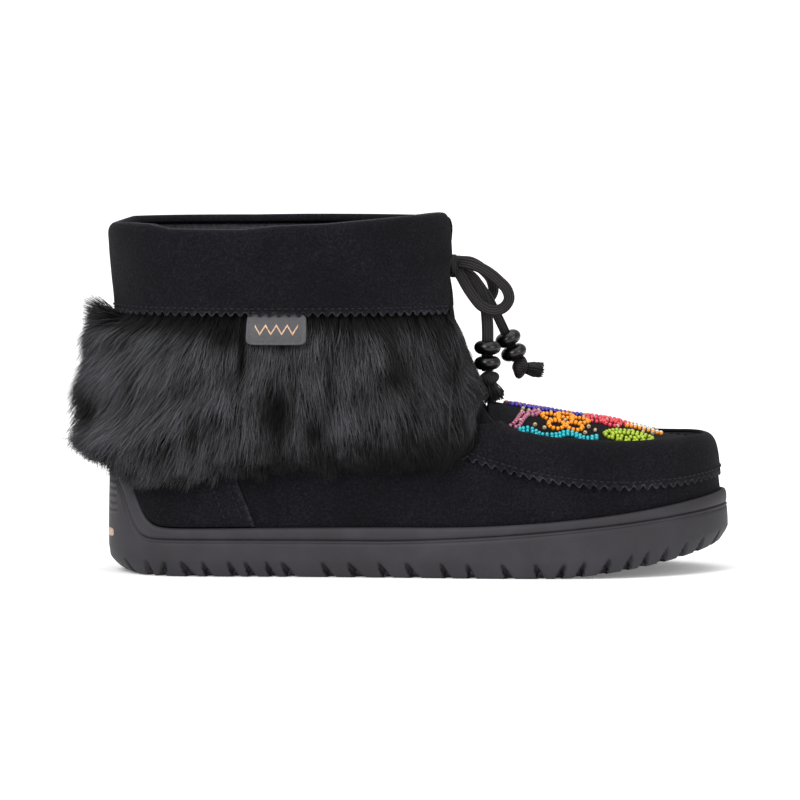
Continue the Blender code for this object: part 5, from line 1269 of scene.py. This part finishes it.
HAIR_LENGTH = (13.0, 23.0)
HAIR_WIDTH = (0.26, 0.42)
LOCK_PITCH = 4.2
LOCK_ROW = 9.0

fur_table_u = np.linspace(-FUR_END - 0.01, FUR_END + 0.01, 241)
fur_table_z = np.linspace(26.0, 136.0, 111)
fur_base = beside_upper(fur_table_u[:, None], fur_table_z, 0.0)
fur_level = unit(beside_upper(fur_table_u[:, None], fur_table_z, 1.0) - fur_base)


def by_shaft(u, z, out):
    """A point beside the shaft, read between the rows and columns of a table of its faces and level directions."""
    i = np.clip((u - fur_table_u[0]) / (fur_table_u[1] - fur_table_u[0]), 0, len(fur_table_u) - 1.001)
    j = np.clip((z - fur_table_z[0]) / (fur_table_z[1] - fur_table_z[0]), 0, len(fur_table_z) - 1.001)
    i0, j0 = i.astype(int), j.astype(int)
    a, b = (i - i0)[..., None], (j - j0)[..., None]
    face, level = (
        (t[i0, j0] * (1 - b) + t[i0, j0 + 1] * b) * (1 - a) + (t[i0 + 1, j0] * (1 - b) + t[i0 + 1, j0 + 1] * b) * a
        for t in (fur_base, fur_level)
    )
    point = face + unit(level) * out[..., None]
    point[..., 2] = z
    return point


fur_middle = len(fur_table_u) // 2
fur_limit = [  # the column of the front end at each height of the table
    np.interp(np.interp(z, *np.transpose(FUR_FRONT)), fur_base[fur_middle:, k, 0], fur_table_u[fur_middle:])
    for k, z in enumerate(fur_table_z)
]


def short_of_front(u, z, ease=0.02):
    """The same column, held short of the ruff's slanting front end: past it, a column closes on it exponentially."""
    limit, column = np.interp(z, fur_table_z, fur_limit), np.abs(u)
    over = np.maximum(column - limit + ease, 0.0)
    return np.sign(u) * (np.minimum(column, limit - ease) + ease * (1.0 - np.exp(-over / ease)))


def fur_edge(u):
    """The ruff's top under the cuff or under the throat's edge, and its hem, in each column."""
    top = np.minimum(FUR_TOP, upper_form(u, 1.0)[..., 2] - 1.5)
    return top, column_table(FUR_SPAN, "hem", np.abs(u))


def ruffle(x, z, size, phase):
    """A slow unevenness from -1 to 1: the mean of three sines a size apart that cross at different angles."""
    ways = ((0.97, 0.35, 1.0), (0.52, -0.84, 0.83), (-0.31, 1.07, 1.21))
    return sum(np.sin(2 * np.pi * (a * x + b * z) / (size * c) + phase * (1 + 2 * c)) for a, b, c in ways) / 3


def hollow_at(u, z):
    """How deep in a hollow a place lies, 0 to 1: each is a bell over its half sizes."""
    x, side = sole_x(u), np.where(u < 0, -1, 1)
    bells = [
        h.depth * (side == h.side) * np.exp(-(((x - h.x) / h.half_x) ** 2) - ((z - h.z) / h.half_z) ** 2)
        for h in HOLLOWS
    ]
    return np.clip(sum(bells), 0.0, 1.0)


def fur_depth(u, z, top, hem):
    """How far out the ruff's face stands at a height: its thickness times a round profile of the way down it, uneven
    by a seventh, less in the hollows, over the throat and behind the label."""
    share = np.clip((top - z) / (top - hem), 0.0, 1.12)
    full = table_curve(*np.transpose(FUR_SHARES), share)
    column = np.abs(u)
    x = sole_x(u) * np.where(u < 0, 1.0, -1.0)
    thick = column_table(FUR_SPAN, "thick", column) * (1.0 + 0.14 * ruffle(x, z, 26.0, 0.7))
    thick = thick * (1.0 - 0.45 * np.clip((column - 0.47) / 0.07, 0, 1) * np.clip((z - 84.0) / 16.0, 0, 1))
    depth = 2.0 + (thick - 0.8) * full * (1.0 - 0.5 * hollow_at(u, z))
    behind = np.clip((x - TAG_FROM + 5.0) / 4.0, 0.0, 1.0) * np.clip((TAG_FROM + TAG_LENGTH + 5.0 - x) / 4.0, 0.0, 1.0)
    near_tag = behind * np.clip((z - TAG_LOW + 7.0) / 6.0, 0.0, 1.0)
    return depth * (1 - near_tag) + np.minimum(depth, 6.6) * near_tag


# Fur pile: fine tapering hair with a soft gloss along each lock. Its colour comes from each hair's tone. The hair is
# near black at its foot and greyer at its tips: painted shade deep in the pile and a painted highlight at the tips.
PILE_DULL, PILE_GLOSSY = 0.8, 0.38  # roughness at the foot and at the tip
pile, pile_shader, _ = new_material("fur_pile_dye_and_painted_shade", 0.42, Specular_IOR_Level=0.16)
pile_tone = add_node(pile, "ShaderNodeAttribute", attribute_name="tone").outputs["Fac"]
pile_colour = add_node(
    pile, "ShaderNodeValToRGB", {"Fac": pile_tone},
    stops=((0.0, "010101"), (0.24, "101011"), (0.45, "323234"), (1.0, "505056")),
)
pile_gloss = add_node(
    pile, "ShaderNodeMapRange", {"Value": pile_tone, "From Max": 0.7, "To Min": PILE_DULL, "To Max": PILE_GLOSSY}
)
pile.node_tree.links.new(pile_colour.outputs["Color"], pile_shader.inputs["Base Color"])
pile.node_tree.links.new(pile_gloss.outputs[0], pile_shader.inputs["Roughness"])
# Knitted backing: a matt black body that swells out under the pile to about half its depth. It is painted shade
# standing in for the dense hair's own shade, and it shows only where the pile parts.
backing = grained_material(
    "dark_backing_painted_shade", 0.95, 500.0, 4.0, 0.6, ((0.3, "020202"), (0.7, "060607")), Specular_IOR_Level=0.05
)

# The backing's rows: its face swells to part of the ruff's depth, a dark body of painted shade under the hairs.
PELT_COLUMNS = 301
PELT_FACE = (  # share of the way down, share of the ruff's depth
    (0.0, 0.0), (0.06, 0.05), (0.14, 0.3), (0.3, 0.5), (0.5, 0.55), (0.7, 0.5), (0.82, 0.3), (0.86, 0.1),
)
PELT_BACK = ((0.84, 1.5), (0.5, 1.2), (0.0, 1.2))  # share of the way down, distance out
pelt_u = np.linspace(-FUR_END, FUR_END, PELT_COLUMNS)
pelt_top, pelt_hem = fur_edge(pelt_u)
pelt_close = np.sqrt(np.clip((FUR_END - np.abs(pelt_u)) / 0.05, 0.0, 1.0))
pelt_rows = []
for share, full in PELT_FACE:
    z = pelt_top + (pelt_hem - pelt_top) * share
    swell = full * pelt_close * (fur_depth(pelt_u, z, pelt_top, pelt_hem) - 2.0)
    pelt_rows.append(by_shaft(short_of_front(pelt_u, z), z, 1.7 + 0.4 * pelt_close + swell))
for share, out in PELT_BACK:
    z = pelt_top + (pelt_hem - pelt_top) * share
    pelt_rows.append(by_shaft(short_of_front(pelt_u, z), z, np.full(pelt_u.shape, out)))
pelt_faces = grid_faces(PELT_COLUMNS, len(pelt_rows), close_rows=True)
healed(put("fur_shade_body", np.stack(pelt_rows, 1), pelt_faces, backing, "fur_ruff"), holes=11)

HAIR_STEPS = np.array([0.0, 0.22, 0.48, 0.75, 1.0])  # shares of a hair's length
HAIR_TAPER = np.array([1.0, 1.0, 0.85, 0.55, 0.1])
# How a hair's tone grows from foot to tip: painted shade at the foot, deep in the pile, and a painted highlight at the
# tip.
HAIR_PAINTED_SHADE = np.array([0.12, 0.32, 0.70, 1.1, 1.45])
HAIR_RISE = np.array([0.10, 0.44, 0.71, 0.89, 1.0])  # share of its layer's depth that it has reached


def ribbons(name, paths, away, tone, rng):
    """Hairs as tapering ribbons in four steps along their paths, each turned at random about its own way, and half as
    wide again on the inner side, where they stand further apart."""
    count = len(paths)
    way = unit(np.gradient(paths, axis=1))
    side = unit(np.cross(way, away))
    twist = rng.uniform(-0.8, 0.8, count)[:, None, None]
    side = side * np.cos(twist) + away * np.sin(twist)
    wide = (1.0 + 0.5 * (paths[:, :1, 1] > 0.0)) * rng.uniform(*HAIR_WIDTH, count)[:, None]
    half = (wide * HAIR_TAPER / 2)[..., None]
    ribbon = np.stack([paths - side * half, paths + side * half], 2)
    piece = put(name, ribbon, many(grid_faces(len(HAIR_STEPS), 2), count, 2 * len(HAIR_STEPS)), pile)
    mark_points(piece, "tone", np.repeat((tone * HAIR_PAINTED_SHADE).clip(0, 1).reshape(-1), 2))


def hairs(name, low_u, high_u, count, seed):
    """A hair leaves the backing at (u, z), falls by its length along the pile's lean and closes on the middle of its
    lock, while it swings out to its own layer of the ruff's depth; the guard hairs stand a tenth proud of it."""
    rng = np.random.default_rng(seed)
    u = rng.uniform(low_u, high_u, count)
    top, hem = fur_edge(u)
    root_z = top + (hem + 4.0 - top) * rng.uniform(0.0, 1.0, count) ** 0.95
    step = np.full(count, 6.0)
    speed = np.linalg.norm(by_shaft(u + 1e-3, root_z, step) - by_shaft(u - 1e-3, root_z, step), axis=-1) / 2e-3
    speed = np.maximum(speed, 180.0)
    x = sole_x(u) * np.where(u < 0, 1.0, -1.0)
    length = rng.uniform(*HAIR_LENGTH, count)
    layer = 1.0 - 0.6 * rng.uniform(0.0, 1.0, count) ** 1.8 + 0.12 * (rng.uniform(0.0, 1.0, count) > 0.85)
    lock_x = np.round(x / LOCK_PITCH + 0.8 * ruffle(x, root_z, 30.0, 2.1) + rng.normal(0.0, 0.22, count))
    lock_key = lock_x * 13 + np.round(root_z / LOCK_ROW + lock_x * 0.37) * 7919
    lock_noise = (np.sin(lock_key * 12.9898) * 43758.5453) % 1.0
    lean = column_table(FUR_SPAN, "lean", np.abs(u)) * np.clip(np.abs(u) / 0.09, 0.0, 1.0)
    lean = lean + 0.20 * ruffle(x, root_z, 34.0, 1.3) + 0.20 * (lock_noise - 0.5) + rng.normal(0.0, 0.10, count)
    fall = length / np.hypot(1.0, lean)
    low = hem - 6.0 + 9.0 * lock_noise + 3.0 * ruffle(x, 0.0 * x, 17.0, 0.4) + rng.uniform(-1.5, 2.5, count)
    tip_z = np.maximum(root_z - fall, low)
    z = root_z[:, None] + (tip_z - root_z)[:, None] * HAIR_STEPS ** 1.05
    wave = 0.5 * np.sin(HAIR_STEPS * 4.0 + rng.uniform(0, 6.28, count)[:, None])
    drift = lean[:, None] * (root_z[:, None] - z) + wave
    toward = ((lock_x - x / LOCK_PITCH) * LOCK_PITCH)[:, None] * HAIR_STEPS ** 1.5 * (np.abs(x[:, None]) > 2.0)
    across = u[:, None] + np.where(u < 0, -1.0, 1.0)[:, None] * (drift + toward.clip(-3, 3) * 0.55) / speed[:, None]
    across = short_of_front(across, z) + rng.normal(0.0, 0.003, count)[:, None] * HAIR_STEPS

    swell = 1.0 + 0.14 * (lock_noise - 0.5)
    depth = fur_depth(across, z, top[:, None], hem[:, None])
    flare = rng.exponential(1.5, count) * np.exp(-((u / 0.10) ** 2))
    out = BACKING_OUT + (depth - BACKING_OUT) * (layer * swell)[:, None] * HAIR_RISE
    out = out + flare.clip(0.0, 5.0)[:, None] * HAIR_STEPS**2
    paths = by_shaft(across, z, out)
    away = unit(by_shaft(across, z, out + 1.0) - paths)

    # Painted shade in each hair's tone: darker towards the hem over its last 14 mm, and darker in the hollows where the
    # pile parts.
    by_hem = 0.70 - 0.40 * ((x[:, None] - 50.0) / 20.0).clip(0.0, 1.0)
    over_hem = ((z - hem[:, None] - 1.0) / 13.0).clip(0.0, 1.0)
    dark = (1.0 - 0.97 * hollow_at(across, z)) * (by_hem + (1.0 - by_hem) * over_hem)
    dark = dark * (1.0 - 0.40 * ((x[:, None] - 105.0) / 25.0).clip(0.0, 1.0))
    # Painted shadow under the cuff's edge, along the ruff's top.
    dark = dark * (1.0 - 0.55 * np.exp(-(((FUR_TOP - z) / 8.0) ** 2)))
    tone = 0.46 + 0.20 * ruffle(x, root_z, 21.0, 0.2) + 0.22 * (lock_noise - 0.5) + rng.normal(0, 0.13, count)
    tone = (tone + 0.2 * (layer - 0.8))[:, None] * dark
    ribbons(name, paths, away, tone.clip(0.03, 1), rng)


HAIR_PARTS = (  # name, first and last column, hairs, seed
    ("a", -FUR_END, -0.33, 21000, 41), ("b", -0.33, 0.0, 22000, 42),
    ("c", 0.0, 0.33, 12500, 43), ("d", 0.33, FUR_END, 11000, 44),
)
for part, low_u, high_u, count, seed in HAIR_PARTS:
    hairs(f"fur_hairs_{part}", low_u, high_u, count, seed)

# A tuft at the back escapes from under the cuff and stands up: its hairs rise by 2 to 9 mm as they swing back.
TUFT_HAIRS = 2200
tuft_rng = np.random.default_rng(77)
tuft_u = tuft_rng.normal(-0.012, 0.035, TUFT_HAIRS)
tuft_z = tuft_rng.uniform(108.0, 116.5, TUFT_HAIRS)
tuft_rise = tuft_rng.uniform(-7.0, 10.0, TUFT_HAIRS) + 2.6 * np.sin(tuft_u * 150.0)
tuft_z = tuft_z[:, None] + tuft_rise[:, None] * HAIR_STEPS ** 1.2 - 2.0 * HAIR_STEPS**3
tuft_out = 2.6 + (3.0 + tuft_rng.uniform(5.5, 13.0, TUFT_HAIRS))[:, None] * HAIR_STEPS ** 0.8
tuft_across = tuft_u[:, None] * (1.0 - 0.3 * HAIR_STEPS)
tuft_paths = by_shaft(tuft_across, tuft_z, tuft_out)
tuft_away = unit(np.cross(np.gradient(tuft_paths, axis=1), (0.0, 1.0, 0.0)))
ribbons("fur_heel_tuft", tuft_paths, tuft_away, tuft_rng.uniform(0.2, 0.55, TUFT_HAIRS)[:, None], tuft_rng)


# The studio: a white sweep, a large soft light overhead, a key from the front left and a fill from the right.
FLOOR_HALF = 40.0
FLOOR_AT = -0.0002
SOFTBOXES = (  # name, place, size, power
    ("key_softbox", (-0.85, -1.7, 1.25), 0.9, 26.0), ("fill_softbox", (1.5, -1.3, 0.9), 1.0, 12.0),
)
LIT_SPOT = (0.1, 0.0, 0.06)
floor_mesh = bpy.data.meshes.new("studio_floor")
floor_corners = [(FLOOR_HALF * x, FLOOR_HALF * y, FLOOR_AT) for x, y in ((-1, -1), (1, -1), (1, 1), (-1, 1))]
floor_mesh.from_pydata(floor_corners, [], [(0, 1, 2, 3)])
floor = bpy.data.objects.new("studio_floor", floor_mesh)
bpy.context.scene.collection.objects.link(floor)
paper = grained_material(
    "white_sweep_paper", 0.9, 900.0, 2.0, 0.02, ((0.0, "fafafa"), (1.0, "fdfdfd")),
    Emission_Color=(1.0, 1.0, 1.0, 1.0), Emission_Strength=0.16,
)
floor_mesh.materials.append(paper)  # its slight glow keeps the floor as white as the backdrop
world = bpy.data.worlds.new("studio_world")
world.use_nodes = True
world.node_tree.nodes["Background"].inputs["Color"].default_value = (1.0, 1.0, 1.0, 1.0)
world.node_tree.nodes["Background"].inputs["Strength"].default_value = 0.52
bpy.context.scene.world = world
overhead = bpy.data.lights.new("overhead_bank", "SUN")
overhead.energy = 2.0
overhead.angle = math.radians(75.0)
overhead_object = bpy.data.objects.new("overhead_bank", overhead)
overhead_object.rotation_euler = (math.radians(8.0), math.radians(-6.0), 0.0)
bpy.context.scene.collection.objects.link(overhead_object)
for name, at, size, power in SOFTBOXES:
    lamp = bpy.data.lights.new(name, "AREA")
    lamp.shape = "SQUARE"
    lamp.size = size
    lamp.energy = power
    lamp_object = bpy.data.objects.new(name, lamp)
    lamp_object.location = at
    lamp_object.rotation_euler = (Vector(LIT_SPOT) - Vector(at)).to_track_quat("-Z", "Y").to_euler()
    bpy.context.scene.collection.objects.link(lamp_object)
bpy.context.scene.view_settings.view_transform = "Standard"

bpy.context.view_layer.update()
